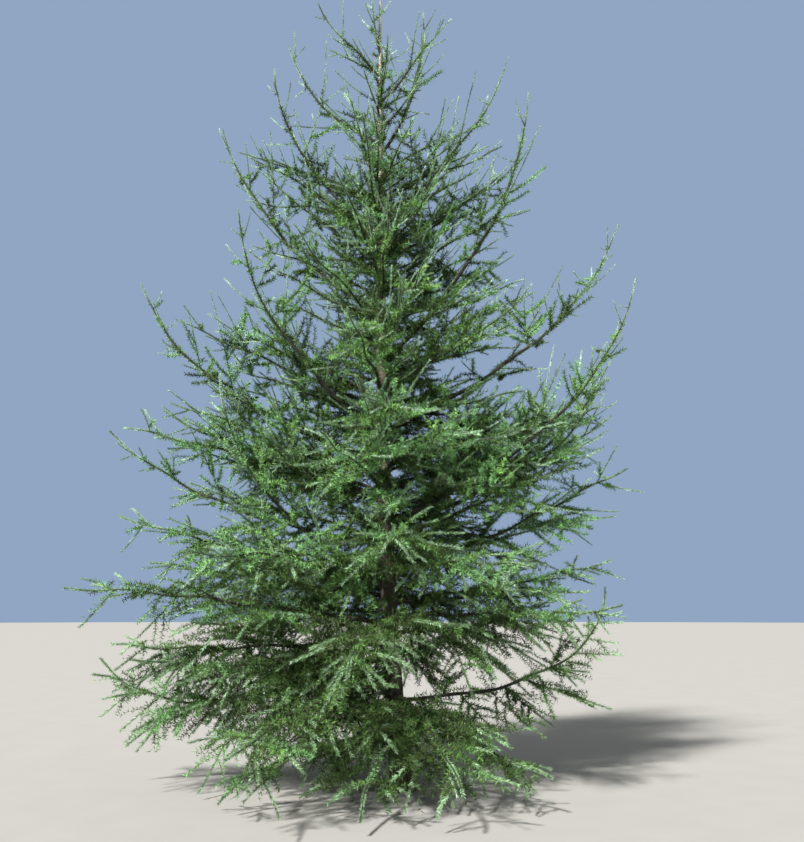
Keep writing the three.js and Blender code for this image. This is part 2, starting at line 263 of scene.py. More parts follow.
# The lines that bear needles, how thickly each kind is set, and where this
# year's growth starts on it
BOUGH_NEEDLES_FROM = 0.1
BOUGH_LINE_LENGTH = 0.25
FEWEST_BOUGH_LINES = 6
LIMB_NEEDLES = 0.6
BOUGH_NEEDLES = 1.6
TIP_NEEDLES = 2.2
TIP_NEEDLES_FROM = 0.5
TIP_NEEDLES_WITHIN = 0.3
YOUNG_BOUGH_END = 0.35
YOUNG_BOUGH_NEEDLES = 2.0
LEADER_NEEDLES_FROM = 0.72
LEADER_NEEDLES_TO = 0.995
LEADER_LINES = 9
LEADER_NEEDLES = 0.8
LEADER_PLACE = 0.6
YOUNG_LEADER = 0.45
SHOOT_RADII = (0.003, 0.001)
SHOOT_NEEDLES = 1.3
SHOOT_PLACE_SHARE = 0.55
TWIG_RADII = (0.0015, 0.0008)
TWIG_PLACE_SHARE = 0.45
TWIG_NEEDLES = (0.65, 1.35)
SPRAY_FULLNESS = (0.35, 1.65)
HIGH_TWIG_GAIN = 1.20
YOUNG_TWIGS_FROM = 0.7
YOUNG_TWIG_START = 0.6

# The needles themselves: in tufts on old wood, and thicker but one by one on
# this year's growth
TUFT_NEEDLES = 2
TUFT_LEAN = (-0.4, 1.4)
TUFT_SWING = 1.1
YOUNG_DENSITY = 1.7
YOUNG_LEAN = (0.9, 1.9)
YOUNG_LENGTH = 0.85
YOUNG_SHORTENING = 0.38
INNER_SIZE = 1.25
SIZE_LOSS = 0.25
NEEDLE_LENGTHS = (0.8, 1.15)
NEEDLE_LIFT = 0.15
NEEDLE_ROOTING = 0.8
NARROWEST = 0.8
LOWEST_NEEDLE_TIP = 0.01

# How the tints are dealt out, and how they shift with a bough's height: darker tints further in
# are painted shade, and the shifts paint shade low down and at the top and light at mid height
# The fresh tint is painted sunlight: a yellower green for outer needles in the light
TINT_NAMES = ("shade", "deep", "leaf", "fresh", "blue", "pale")
SHADE, DEEP, LEAF, SUNLIT, BLUE, PALE = range(len(TINT_NAMES))
TINT_HEIGHTS = (0.0, 0.4, 1.0)
# Painted light and shade: by a bough's height the tints shift darker low down and at the top, and
# lighter at mid height
LIGHT_AND_SHADE_SHIFTS = (-0.50, 0.20, -0.12)
SPRAY_TINT_SPREAD = 0.26
LINE_TINT_SPREAD = 0.07
# Painted shade: lines whose shifted place falls below these get the darker shade and deep tints
SHADE_BELOW = 0.20
DEEP_BELOW = 0.42
# Painted sunlight: lines whose shifted place lies above this count as lit
LIGHT_ABOVE = 0.60
BLUE_END = 0.34
# Painted sunlight: lit outer sprays with a draw between the blue end and this end get the fresh
# tint, more of them high up
SUNLIT_END = (0.50, 0.25)
PALE_FROM = 0.35
PALE_SHARE = (0.2, 0.7)

# Stage
FLOOR_SIDES = 180
FLOOR_ROUGHNESS = 0.9
FLOOR_GRAIN = 2
FLOOR_DETAIL = 3
FLOOR_PALER = 1.04
FLOOR_STOPS = (0.3, 0.7)
SENSOR_WIDTH = 36
VIEW_REACH = 400
KEY_TURN = (math.radians(38), math.radians(-30), 0)

# Every bough as height, turn, reach, rise, the slope it leaves and ends
# with, and whether it has a bare limb. Turns and slopes are in degrees.
BOUGHS = (
    (5.30, 190, 1.15, 1.95, 48, 88, True),
    (4.60, 174, 1.80, 2.16, 28, 66, True),
    (4.05, 2, 1.58, 3.10, 46, 86, True),
    (3.21, 215, 1.65, 2.10, 38, 88, True),
    (3.03, 178, 2.55, 1.95, 22, 70, True),
    (3.35, 8, 2.58, 2.40, 28, 70, True),
    (2.45, 350, 2.50, 2.35, 22, 76, True),
    (1.95, 202, 1.70, 1.85, 15, 86, True),
    (2.25, 176, 2.85, 1.15, 8, 40, True),
    (0.80, 8, 2.12, 1.05, 0, 88, True),
    (7.55, 215, 0.12, 0.69, 70, 85, False),
    (7.40, 85, 0.45, 0.56, 45, 65, False),
    (7.30, 205, 0.72, 0.68, 38, 62, False),
    (7.00, 352, 0.78, 0.95, 38, 45, False),
    (6.95, 278, 0.62, 0.42, 30, 45, False),
    (6.70, 130, 0.75, 0.82, 35, 60, False),
    (6.50, 176, 1.02, 1.22, 25, 75, False),
    (6.35, 18, 0.50, 1.85, 58, 92, False),
    (5.95, 252, 0.95, 0.55, 30, 35, False),
    (5.85, 100, 1.05, 0.95, 35, 60, False),
    (5.60, 338, 1.38, 1.42, 30, 65, False),
    (5.10, 300, 1.25, 0.60, 30, 35, False),
    (5.05, 125, 1.40, 1.00, 30, 55, False),
    (4.50, 48, 1.70, 1.10, 30, 50, False),
    (4.40, 238, 1.45, 0.60, 30, 30, False),
    (4.00, 278, 1.50, 0.40, 30, 25, False),
    (3.85, 140, 1.95, 0.95, 25, 45, False),
    (3.75, 322, 1.75, 0.75, 25, 40, False),
    (3.45, 85, 2.00, 0.85, 25, 45, False),
    (2.95, 292, 1.85, 0.25, 20, 15, False),
    (2.80, 52, 2.30, 0.80, 20, 40, False),
    (2.75, 255, 1.90, 0.25, 18, 10, False),
    (2.65, 125, 2.30, 0.70, 20, 40, False),
    (2.05, 14, 2.62, 1.05, 8, 25, False),
    (2.00, 228, 2.35, 0.05, 12, 0, False),
    (1.95, 305, 2.05, 0.00, 12, -5, False),
    (1.75, 88, 2.40, 0.35, 5, 20, False),
    (1.60, 142, 2.60, 0.25, 5, 20, False),
    (1.55, 338, 2.20, 0.10, 6, 10, False),
    (1.50, 198, 2.95, 0.30, 6, 0, False),
    (1.45, 262, 2.10, -0.30, 8, -25, False),
    (1.40, 42, 2.40, 0.35, 5, 25, False),
    (1.05, 176, 2.85, 0.10, -8, 45, False),
    (0.95, 240, 2.35, -0.40, -2, -25, False),
    (0.85, 285, 2.00, -0.55, -2, -30, False),
    (0.70, 100, 2.20, -0.10, -2, 10, False),
    (0.60, 262, 1.85, -0.47, 2, -20, False),
    (0.55, 315, 1.75, -0.25, 2, -15, False),
    (0.50, 222, 1.90, -0.25, 0, -15, False),
)

# Lesser boughs that fill the crown between the main ones, on all four sides:
# the first six of these numbers, as none has a bare limb
BETWEEN_BOUGHS = (
    (5.60, 10, 0.95, 0.85, 35, 50),
    (5.25, 2, 1.35, 1.00, 35, 50),
    (5.45, 170, 1.10, 0.95, 35, 50),
    (5.15, 184, 1.30, 1.00, 35, 45),
    (4.75, 5, 1.25, 0.70, 30, 35),
    (4.45, 186, 1.35, 0.75, 30, 35),
    (3.85, 2, 1.45, 0.75, 25, 35),
    (3.70, 188, 1.75, 0.80, 25, 30),
    (3.30, 174, 1.50, 0.55, 22, 20),
    (2.95, 356, 1.70, 0.60, 20, 20),
    (2.75, 182, 2.20, 0.80, 20, 30),
    (2.55, 4, 2.30, 1.00, 20, 35),
    (2.30, 188, 1.90, 0.50, 15, 15),
    (1.90, 183, 2.60, 0.60, 10, 15),
    (1.75, 171, 2.45, 0.35, 8, 10),
    (1.70, 5, 2.20, 0.40, 8, 15),
    (5.45, 262, 1.10, 0.75, 35, 40),
    (5.20, 86, 1.35, 0.90, 35, 45),
    (4.65, 274, 1.45, 0.55, 30, 25),
    (4.35, 98, 1.75, 0.75, 28, 35),
    (3.70, 262, 1.75, 0.35, 22, 15),
    (3.15, 102, 2.10, 0.60, 20, 25),
    (3.10, 272, 1.90, 0.20, 18, 5),
    (2.30, 94, 2.25, 0.50, 12, 20),
    (1.25, 208, 1.75, -0.25, 0, -20),
    (5.85, 350, 1.15, 0.50, 30, 20),
    (5.70, 182, 1.50, 0.65, 35, 15),
    (5.10, 350, 1.05, 0.50, 30, 20),
    (4.60, 14, 1.30, 0.50, 30, 15),
    (3.45, 348, 1.40, 0.25, 15, 8),
    (3.20, 12, 1.75, 0.50, 18, 12),
    (3.05, 184, 1.75, 0.80, 22, 28),
    (2.70, 181, 2.60, 0.70, 18, 12),
    (1.30, 181, 2.65, 0.00, 2, 5),
    (1.15, 192, 2.40, 0.05, 0, 10),
    (1.20, 236, 1.30, -0.25, 0, -20),
    (5.90, 336, 0.85, 0.40, 30, 25),
    (5.35, 20, 1.15, 0.55, 32, 25),
    (4.95, 342, 0.95, 0.40, 28, 20),
    (4.75, 178, 1.35, 0.60, 30, 18),
    (5.35, 176, 1.45, 1.05, 38, 25),
    (5.75, 186, 1.35, 0.50, 32, 10),
    (5.45, 345, 1.10, 0.65, 32, 28),
    (2.60, 356, 1.95, 0.95, 25, 25),
    (2.75, 10, 2.10, 0.95, 25, 20),
    (3.30, 268, 0.95, 0.25, 25, 10),
    (2.85, 262, 1.15, 0.20, 22, 5),
    (2.45, 276, 1.10, 0.10, 15, 0),
    (2.55, 70, 1.90, 0.50, 15, 15),
    (2.10, 62, 2.00, 0.40, 12, 10),
    (1.90, 112, 2.10, 0.35, 10, 10),
    (7.30, 190, 0.55, 0.25, 35, 10),
    (6.90, 20, 0.45, 0.35, 45, 40),
    (6.80, 250, 0.45, 0.30, 42, 30),
    (6.60, 318, 0.60, 0.40, 40, 30),
    (4.30, 355, 1.45, 0.60, 28, 22),
    (4.05, 8, 1.60, 0.85, 28, 25),
    (2.90, 181, 2.15, 0.75, 20, 16),
    (1.00, 132, 2.10, -0.05, 0, 5),
    (0.62, 132, 1.70, -0.15, 0, 0),
    (1.20, 78, 1.80, 0.05, 2, 8),
    (0.66, 60, 1.50, -0.15, -2, -5),
    (6.15, 352, 1.15, 0.50, 34, 24),
    (5.80, 345, 1.30, 0.45, 32, 18),
    (5.55, 181, 1.40, 0.25, 26, 6),
    (3.95, 352, 1.30, 0.45, 25, 18),
    (3.45, 181, 1.60, 0.60, 25, 20),
    (3.60, 183, 2.10, 0.90, 22, 25),
    (3.00, 358, 2.20, 0.60, 20, 14),
    (5.75, 268, 1.05, 0.55, 34, 20),
    (5.55, 92, 1.25, 0.60, 32, 25),
    (4.95, 254, 1.35, 0.55, 30, 20),
    (4.85, 80, 1.60, 0.70, 30, 25),
    (4.10, 285, 1.65, 0.45, 25, 15),
    (4.10, 108, 1.80, 0.60, 25, 20),
    (3.60, 74, 2.00, 0.60, 22, 20),
    (2.35, 356, 2.20, 1.55, 8, 62),
    (2.45, 4, 2.35, 1.75, 12, 65),
    (5.15, 6, 1.45, 1.15, 38, 42),
    (3.95, 14, 1.45, 0.40, 22, 10),
    (2.65, 184, 2.00, 0.80, 20, 24),
    (4.90, 3, 1.55, 0.85, 30, 15),
)


# The growth rule, with the same random numbers as the source of the solids

SEED_FACTOR = 7919
SEED_SHIFT = 17
RANDOM_FACTOR = 1664525
RANDOM_SHIFT = 1013904223
RANDOM_SIZE = 2 ** 32
NEARLY_NOTHING = 1e-9


class RandomNumbers:
    """Seeded numbers from 0 to 1, the same on every run."""

    def __init__(self, seed):
        self.state = (seed * SEED_FACTOR + SEED_SHIFT) % RANDOM_SIZE

    def next(self):
        self.state = (self.state * RANDOM_FACTOR + RANDOM_SHIFT) % RANDOM_SIZE
        return self.state / RANDOM_SIZE

    def scatter(self, width):
        return width * (self.next() - 0.5)


def clamp(value, low, high):
    return max(low, min(high, value))


def rising(pair, amount):
    """The pair's first number, plus its second for each 1 of the amount."""
    start, gain = pair
    return start + gain * amount


def between(pair, share):
    """A value that goes from the pair's first number to its second."""
    first, last = pair
    return first + (last - first) * share


def unit(vectors):
    lengths = np.linalg.norm(vectors, axis=-1, keepdims=True)
    return vectors / np.maximum(lengths, NEARLY_NOTHING)


def outwards(turn):
    """The level direction at a turn round the trunk, in radians."""
    return np.array([math.cos(turn), math.sin(turn), 0.0])


def beside(out):
    """The level direction square to a level one."""
    return np.array([-out[1], out[0], 0.0])


def sloping(out, degrees):
    return math.cos(math.radians(degrees)) * out + math.sin(math.radians(degrees)) * UP


def turned(angles, first, second):
    """Vectors turned from the first towards the second, each by its own angle."""
    return np.cos(angles)[:, None] * first + np.sin(angles)[:, None] * second


def curved(t, a, b, c):
    """Points at shares t on the curve of three control points."""
    return (1 - t) ** 2 * a + 2 * (1 - t) * t * b + t ** 2 * c


def bent_curves(roots, headings, swings, lengths):
    """Three control points for each curve, which sets off straight and then swings."""
    lengths = lengths[:, None]
    middles = roots + 0.5 * lengths * headings
    tips = roots + lengths * (headings + 0.5 * swings)
    return np.stack([roots, middles, tips], axis=1)


def dealt(counts):
    """Each item's owner and its number among the owner's items, by a count for each owner."""
    owner = np.repeat(np.arange(len(counts)), counts)
    return owner, np.concatenate([np.arange(count) for count in counts])


def trunk_centre(height):
    """The trunk's centre line, which leans and sways a little."""
    height = np.asarray(height, dtype=float)
    lean = -LEAN * (1 - np.exp(-height / LEAN_HEIGHT))
    sway = SWAY * np.sin(2 * math.pi * height / SWAY_LENGTH)
    return np.stack([lean, sway, height], axis=-1)


def trunk_radius(height, angle):
    stem = TRUNK_BASE_RADIUS * np.clip(1 - height / TREE_HEIGHT, 0, 1) ** TRUNK_TAPER
    lobes = 1 + FLARE_LOBE_DEPTH * np.cos(FLARE_LOBES * angle)
    flare = FLARE_WIDTH * lobes * np.exp(-height / FLARE_HEIGHT)
    return TRUNK_TIP_RADIUS + stem + flare


class Bough:
    """One bough's centre line, from inside the trunk to its furthest tip."""

    def __init__(self, number, row):
        self.number = number
        self.height, turn, self.reach, self.rise, leave, end, self.limb = row
        out = outwards(math.radians(turn))
        root = trunk_centre(self.height)
        tip = root + self.reach * out + self.rise * UP
        handle = BOUGH_HANDLE * math.hypot(self.reach, self.rise)
        first = root + handle * sloping(out, leave)
        second = tip - handle * sloping(out, end)
        self.controls = np.array([root, first, second, tip])
        self.across = beside(out)
        self.phase = GOLDEN_ANGLE * number
        steps = np.diff(self.points(np.linspace(0, 1, LENGTH_SAMPLES)), axis=0)
        self.length = float(np.linalg.norm(steps, axis=1).sum())
        high = (self.height + self.rise - LOW_TIP_HEIGHT) / HIGH_TIP_RISE
        self.high = clamp(high, 0, 1)

    def points(self, shares):
        t = np.asarray(shares, dtype=float)[..., None]
        a, b, c, d = self.controls
        curve = (1 - t) ** 3 * a + 3 * (1 - t) ** 2 * t * b + 3 * (1 - t) * t ** 2 * c + t ** 3 * d
        turns = 2 * math.pi * t * self.reach / BOUGH_WAVE
        sideways = np.sin(turns + self.phase) * self.across
        upwards = np.sin(BOUGH_RISE_WAVES * turns + 2 * self.phase) * UP
        onset = np.minimum(1, BOUGH_SWAY_ONSET * t)
        return curve + BOUGH_SWAY * onset * (sideways + upwards)

    def along(self, shares):
        t = np.asarray(shares, dtype=float)[..., None]
        a, b, c, d = self.controls
        return unit(curved(t, b - a, c - b, d - c))

    def radius(self, shares):
        shares = np.asarray(shares, dtype=float)
        root = rising(BOUGH_ROOT, math.hypot(self.reach, self.rise))
        collar = 1 + COLLAR_SWELL * np.exp(-shares / COLLAR_LENGTH)
        return BOUGH_TIP_RADIUS + (root - BOUGH_TIP_RADIUS) * collar * (1 - shares) ** BOUGH_TAPER


def lesser_boughs():
    """Boughs between the main ones: the listed ones, then scattered ones."""
    random = RandomNumbers(3 * len(BOUGHS))
    first = len(BOUGHS) + 1
    boughs = [Bough(first + number, (*row, False)) for number, row in enumerate(BETWEEN_BOUGHS)]
    first += len(BETWEEN_BOUGHS)
    for number in range(LESSER_BOUGHS):
        climb = ((number + random.next()) / LESSER_BOUGHS) ** LESSER_CROWDING
        height = between(LESSER_HEIGHTS, climb)
        turn = math.degrees(GOLDEN_ANGLE) * number + random.scatter(LESSER_TURN_SCATTER)
        taper = CROWN_TAPER if height > CROWN_WIDEST else SKIRT_TAPER
        reach = LESSER_REACH * (CROWN_REACH - taper * abs(height - CROWN_WIDEST))
        reach *= 1 + random.scatter(LESSER_REACH_SCATTER)
        climbing = rising(LESSER_RISE, height)
        rise = reach * (climbing + random.scatter(LESSER_RISE_SCATTER))
        leave = rising(LESSER_SLOPE, height)
        end = leave + random.scatter(LESSER_END_SCATTER)
        row = (height, turn, reach, rise, leave, end, False)
        boughs.append(Bough(first + number, row))
    return boughs


def spray_profile(inner):
    """How long the side shoots are, from a stem's inner end to its tip."""
    swell = math.sin(math.pi * min(1, SWELL_RATE * inner))
    return (INNER_LENGTH + (1 - INNER_LENGTH) * swell) * (1 - TIP_SHORTENING * inner)


def side_shoot(bough, number, inner, start, end, random, wider=0, tilt_spread=TILT_SPREAD,
               roll_scatter=ROLL_SCATTER):
    """One side shoot by the seeded rule, with its numbers drawn in the rule's order.

    One number is drawn and not used: by it the source makes a shoot's two
    halves uneven.
    """
    share = between((start, end), inner)
    fork = math.radians(FORK_ANGLE + wider + FORK_SCATTER * random.next())
    turn_up = 2 * ((number * 2) % TILT_STEPS) / (TILT_STEPS - 1) - 1
    level = rising(TILT, bough.high) + tilt_spread * turn_up
    tilt = math.radians(level + random.scatter(TILT_SCATTER))
    roll = math.radians(random.scatter(roll_scatter))
    spread = clamp(SPRAY_SHARE * bough.length, SHORTEST_SPREAD, LONGEST_SPREAD)
    length = spread * spray_profile(inner) * (1 + random.scatter(LENGTH_SCATTER))
    bend = rising(BEND, bough.high) * (1 + random.scatter(BEND_SCATTER))
    random.next()
    twist = math.radians(2 * random.scatter(TWIST))
    side = 1 if number % 2 == 0 else -1
    along = bough.along(share)
    above = np.cross(along, bough.across)
    sideways = side * math.cos(tilt) * bough.across + math.sin(tilt) * above
    direction = math.cos(fork) * along + math.sin(fork) * sideways
    flat = math.cos(roll) * above + math.sin(roll) * bough.across
    return {
        "high": bough.high,
        "share": share,
        "root": bough.points(share),
        "root_radius": float(bough.radius(share)),
        "along": along,
        "direction": direction,
        "width": unit(np.cross(flat, direction)),
        "length": length,
        "bend": bend,
        "twist": twist,
    }


def main_shoots(bough):
    """The side shoots that the solids of the foliage stand for."""
    random = RandomNumbers(bough.number)
    start = LIMB_SHARE + LIMB_MARGIN if bough.limb else BARE_SHARE
    wanted = math.floor((1 - start) * bough.length / SPRAY_SPACING + 0.5) + 1
    count = clamp(wanted, FEWEST_SPRAYS, MOST_SPRAYS)
    shoots = []
    for number in range(count):
        inner = (number + FIRST_SPRAY + SPRAY_SCATTER * random.next()) / count
        shoot = side_shoot(bough, number, inner, start, LEAFY_END, random)
        shoot["length"] *= limb_share(bough, inner)
        shoots.append(shoot)
    return shoots


def limb_share(bough, inner):
    """The heavy limbs carry shorter shoots, and shorter still far out."""
    return LIMB_SHOOT_SHARE - LIMB_SHORTENING * inner if bough.limb else 1


def fine_shoots(bough):
    """Shorter side shoots between the main ones, by the same rule."""
    random = RandomNumbers(bough.number + 4 * len(BOUGHS))
    sparse = clamp((bough.height - SPARSE_FROM) / (SPARSE_TO - SPARSE_FROM), 0, 1)
    spacing = rising(FINE_SPACING, bough.high) * (1 + sparse)
    tilt_spread = rising(FINE_TILT_SPREAD, bough.high)
    count = round((FINE_END - FINE_START) * bough.length / spacing)
    shoots = []
    for number in range(count):
        inner = (number + random.next()) / count
        shoot = side_shoot(
            bough, number, inner, FINE_START, FINE_END, random, FINE_FORK, tilt_spread,
            FINE_ROLL_SCATTER)
        shoot["length"] *= between(FINE_LENGTHS, random.next())
        shoot["length"] *= limb_share(bough, inner) + FINE_TIP_GAIN * inner * (1 - bough.high)
        shoot["bend"] += FINE_LIFT - (FINE_LIFT + FINE_SAG) * bough.high
        flatness = rising(FINE_FLATNESS, bough.high)
        shoot["direction"] = unit(shoot["direction"] * (1, 1, 1 - flatness))
        shoots.append(shoot)
    return shoots


def trunk_shoots():
    """Short shoots all round the trunk, by the same kind of rule."""
    random = RandomNumbers(2 * len(BOUGHS) + 1)
    shoots = []
    for number in range(TRUNK_SHOOTS):
        climb = (number + random.next()) / TRUNK_SHOOTS
        height = between(TRUNK_SHOOT_HEIGHTS, climb)
        turn = GOLDEN_ANGLE * number + random.scatter(TRUNK_SHOOT_TURN_SCATTER)
        slope = rising(TRUNK_SHOOT_SLOPE, climb) + random.scatter(TRUNK_SHOOT_SLOPE_SCATTER)
        out = outwards(turn)
        length = TRUNK_SHOOT_LENGTH * (1 - TRUNK_SHOOT_SHORTENING * climb)
        length *= rising(TRUNK_SHOOT_SPREAD, random.next())
        bend = rising(TRUNK_SHOOT_BEND, climb) + random.scatter(TRUNK_SHOOT_BEND_SCATTER)
        roll = random.scatter(TRUNK_SHOOT_ROLL_SCATTER)
        side = beside(out)
        direction = sloping(out, slope)
        above = np.cross(direction, side)
        shoots.append({
            "high": climb,
            "share": TRUNK_SHOOT_SHARE * climb,
            "root": trunk_centre(height),
            "root_radius": TRUNK_SHOOT_RADIUS,
            "along": TRUNK_SHOOT_SWING * out,
            "direction": direction,
            "width": unit(math.cos(roll) * side + math.sin(roll) * above),
            "length": length,
            "bend": bend,
            "twist": random.scatter(TRUNK_SHOOT_TWIST_SCATTER),
        })
    return shoots


def grow_twigs(shoots, rng):
    """Twigs on both sides of every side shoot, as arrays of three control points."""
    leafy = 1 - whip_share(shoots) - TWIG_START
    counts = np.maximum(0, np.round(shoots["length"] * leafy / TWIG_SPACING).astype(int))
    owner, order = dealt(counts)
    place = (order + rng.uniform(*TWIG_PLACES, len(order))) / counts[owner]
    length = shoots["length"][owner]
    share = TWIG_START + leafy[owner] * place
    points, along = quadratic(shoots, owner, share)
    angle = shoots["twist"][owner] * share
    width = shoots["width"][owner]
    level = unit(np.cross(UP, along))
    level *= np.where(np.sum(level * width, axis=1, keepdims=True) < 0, -1, 1)
    width = (1 - LEVEL_SHARE) * width + LEVEL_SHARE * level
    above = unit(np.cross(along, width))
    width = np.cross(above, along)
    width, above = turned(angle, width, above), turned(angle, above, -width)
    side = np.where(order % 2 == 0, 1.0, -1.0)[:, None]
    lift = rng.uniform(-TWIG_LIFT_SCATTER, TWIG_LIFT_SCATTER, len(order))
    fork = np.radians(TWIG_FORK + rng.uniform(-TWIG_FORK_SCATTER, TWIG_FORK_SCATTER, len(order)))
    heading = turned(fork, along, turned(lift, side * width, above))
    outline = np.clip(rising(OUTLINE, share), 0, 1)
    outline = np.sin(math.pi * outline) ** OUTLINE_POWER
    reach = HALF_WIDTH * length * outline / np.sin(fork) * rng.uniform(*TWIG_LENGTHS, len(order))
    shortest = TWIG_SHORTEST * rng.uniform(*TWIG_SHORTEST_LENGTHS, len(order))
    reach = np.maximum(shortest, reach)
    hang = TWIG_BEND_SHARE * shoots["bend"][owner] + TWIG_SAG
    hang += rng.uniform(-TWIG_HANG_SCATTER, TWIG_HANG_SCATTER, len(order))
    swing = TWIG_FORWARD_SWING * along + hang[:, None] * UP
    return {
        "controls": bent_curves(points, heading, swing, reach),
        "length": reach,
        "owner": owner,
        "share": share,
    }


def whip_share(shoots):
    """The end of each side shoot that is this year's whip, as a share of its length."""
    outmost = np.clip((shoots["share"] - WHIPS_FROM) / (1 - WHIPS_FROM), 0, 1)
    climb = np.maximum(height_share(shoots["root"]) * shoots["share"], outmost)
    whip = rising(WHIP_LENGTH, shoots["share"]) * (1 + HIGH_WHIP_GAIN * climb)
    low = np.clip(1 - shoots["root"][:, 2] / LOW_WHIPS_BELOW, 0, 1)
    longest = between(LONGEST_WHIP, climb)
    return np.minimum(whip / shoots["length"], longest) * (1 - LOW_WHIP_SHORTENING * low)


def height_share(points):
    """0 in the full lower crown, rising to 1 in its thin top."""
    return np.clip((points[:, 2] - THIN_FROM) / (THIN_TO - THIN_FROM), 0, 1)


def crown_fullness(points, high):
    """The share of twigs that grow: fewer on high boughs and up high, fewest far out there."""
    centre = trunk_centre(points[:, 2])
    out = np.clip(np.linalg.norm(points - centre, axis=1) / FAR_OUT, 0, 1)
    least = between(THINNEST, out)
    return (1 - (1 - least) * height_share(points)) * (1 - HIGH_THINNING * high)


def quadratic(shoots, owner, share):
    """Points and directions at shares along three-point curves."""
    a, b, c = (shoots["controls"][owner, column] for column in range(3))
    t = share[:, None]
    return curved(t, a, b, c), unit((1 - t) * (b - a) + t * (c - b))


@functools.lru_cache(maxsize=1)
def grown_tree():
    """All boughs, side shoots and twigs of the tree."""
    rng = np.random.default_rng(TREE_SEED)
    boughs = [Bough(number + 1, row) for number, row in enumerate(BOUGHS)] + lesser_boughs()
    rows = [shoot for bough in boughs for shoot in main_shoots(bough) + fine_shoots(bough)]
    rows += trunk_shoots()
    shoots = {key: np.array([row[key] for row in rows]) for key in rows[0]}
    swing = FORWARD_SWING * shoots["along"] + shoots["bend"][:, None] * UP
    shoots["controls"] = bent_curves(
        shoots["root"], shoots["direction"], swing, shoots["length"])
    keep = inside(shoots["controls"][:, 2], LOWEST_SHOOT_TIP)
    shoots = {key: values[keep] for key, values in shoots.items()}
    twigs = grow_twigs(shoots, rng)
    roots, tips = twigs["controls"][:, 0], twigs["controls"][:, 2]
    keep = inside(tips, LOWEST_TWIG_TIP)
    keep &= rng.random(len(keep)) < crown_fullness(roots, shoots["high"][twigs["owner"]])
    twigs = {key: values[keep] for key, values in twigs.items()}
    return {"boughs": boughs, "shoots": shoots, "twigs": twigs}


def inside(points, lowest):
    """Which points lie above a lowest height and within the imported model's box."""
    low = points > LOW_CORNER - EDGE_ALLOWANCE
    high = points < HIGH_CORNER + EDGE_ALLOWANCE
    return np.all(low & high, axis=1) & (points[:, 2] > lowest)


# Mesh helpers

NEARLY_UPRIGHT = 0.05
HASH_STEPS = (127.1, 311.7, 74.7)
HASH_SPREAD = 43758.5453


def add_object(name, data):
    added = bpy.data.objects.new(name, data)
    bpy.context.scene.collection.objects.link(added)
    return added


def add_piece(name, points, faces, material, nodes, smooth):
    """One object from arrays of points and faces, riding on the tree's body."""
    mesh = bpy.data.meshes.new(name)
    corners = faces.shape[1]
    mesh.vertices.add(len(points))
    mesh.vertices.foreach_set("co", np.asarray(points, dtype=np.float32).ravel())
    mesh.loops.add(faces.size)
    mesh.loops.foreach_set("vertex_index", np.asarray(faces, dtype=np.int32).ravel())
    mesh.polygons.add(len(faces))
    mesh.polygons.foreach_set("loop_start", np.arange(0, faces.size, corners, dtype=np.int32))
    mesh.update(calc_edges=True)
    mesh.polygons.foreach_set("use_smooth", np.full(len(faces), smooth))
    mesh.materials.append(material)
    piece = add_object(name, mesh)
    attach(piece, "root")
    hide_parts(*nodes)


def tube_faces(rings, sides):
    """Triangles of a tube that ends in a tip: rings of points, then the tip.

    Its foot is open, inside the wood that carries it.
    """
    ring = np.arange(rings - 1)[:, None] * sides
    side = np.arange(sides)[None, :]
    a = (ring + side).ravel()
    b = (ring + (side + 1) % sides).ravel()
    lower = np.stack([a, b, b + sides], 1)
    upper = np.stack([a, b + sides, a + sides], 1)
    side = np.arange(sides)
    after = (side + 1) % sides
    last = (rings - 1) * sides
    tip = np.stack([last + side, last + after, np.full(sides, rings * sides)], 1)
    return np.concatenate([lower, upper, tip])


def round_tubes(centres, radii, across, sides):
    """Tubes round many lines at once: points and triangles.

    centres is tubes x rings x 3 and radii tubes x rings; the last centre of
    each line becomes its pointed tip.
    """
    tubes, rings = radii.shape
    along = unit(np.gradient(centres, axis=1))
    across = across[:, None, :]
    side = unit(across - along * np.sum(across * along, -1, keepdims=True))
    up = np.cross(along, side)
    angle = 2 * math.pi * np.arange(sides) / sides
    ring = (np.cos(angle)[:, None] * side[:, :-1, None, :]
            + np.sin(angle)[:, None] * up[:, :-1, None, :])
    walls = centres[:, :-1, None, :] + radii[:, :-1, None, None] * ring
    walls = walls.reshape(tubes, (rings - 1) * sides, 3)
    points = np.concatenate([walls, centres[:, -1:]], axis=1)
    first = np.arange(tubes) * points.shape[1]
    faces = tube_faces(rings - 1, sides)[None] + first[:, None, None]
    return points.reshape(-1, 3), faces.reshape(-1, 3)


def perpendicular(along):
    """A unit vector square to each direction, level where it can be."""
    level = np.cross(along, UP)
    spare = np.cross(along, np.array([1.0, 0.0, 0.0]))
    short = np.linalg.norm(level, axis=1, keepdims=True) < NEARLY_UPRIGHT
    return unit(np.where(short, spare, level))


def hashed(cells, salt):
    """A fixed number from 0 to 1 for each pair of whole numbers."""
    x, y, z = HASH_STEPS
    value = np.sin(cells[..., 0] * x + cells[..., 1] * y + salt * z) * HASH_SPREAD
    return value - np.floor(value)


def plate_relief(across, up, cells_round):
    """Bark plates: 0 in the cracks between plates, near 1 on their faces."""
    place = np.stack([across, up], -1)
    home = np.floor(place)
    nearest = np.full(across.shape, PLATE_FAR_OFF)
    second = np.full(across.shape, PLATE_FAR_OFF)
    for step_x in (-1, 0, 1):
        for step_y in (-1, 0, 1):
            cell = home + np.array([step_x, step_y])
            wrapped = np.stack([cell[..., 0] % cells_round, cell[..., 1]], -1)
            seed = np.stack([hashed(wrapped, 1), hashed(wrapped, 2)], -1)
            distance = np.linalg.norm(cell + seed - place, axis=-1)
            second = np.minimum(second, np.maximum(nearest, distance))
            nearest = np.minimum(nearest, distance)
    return np.clip((second - nearest) / PLATE_CRACK, 0, 1)


# Materials: the bark turns from its low to its high colour between two
# heights, its flakes are given as width and relief, and stops pair a place
# on a noise with a share of the colour

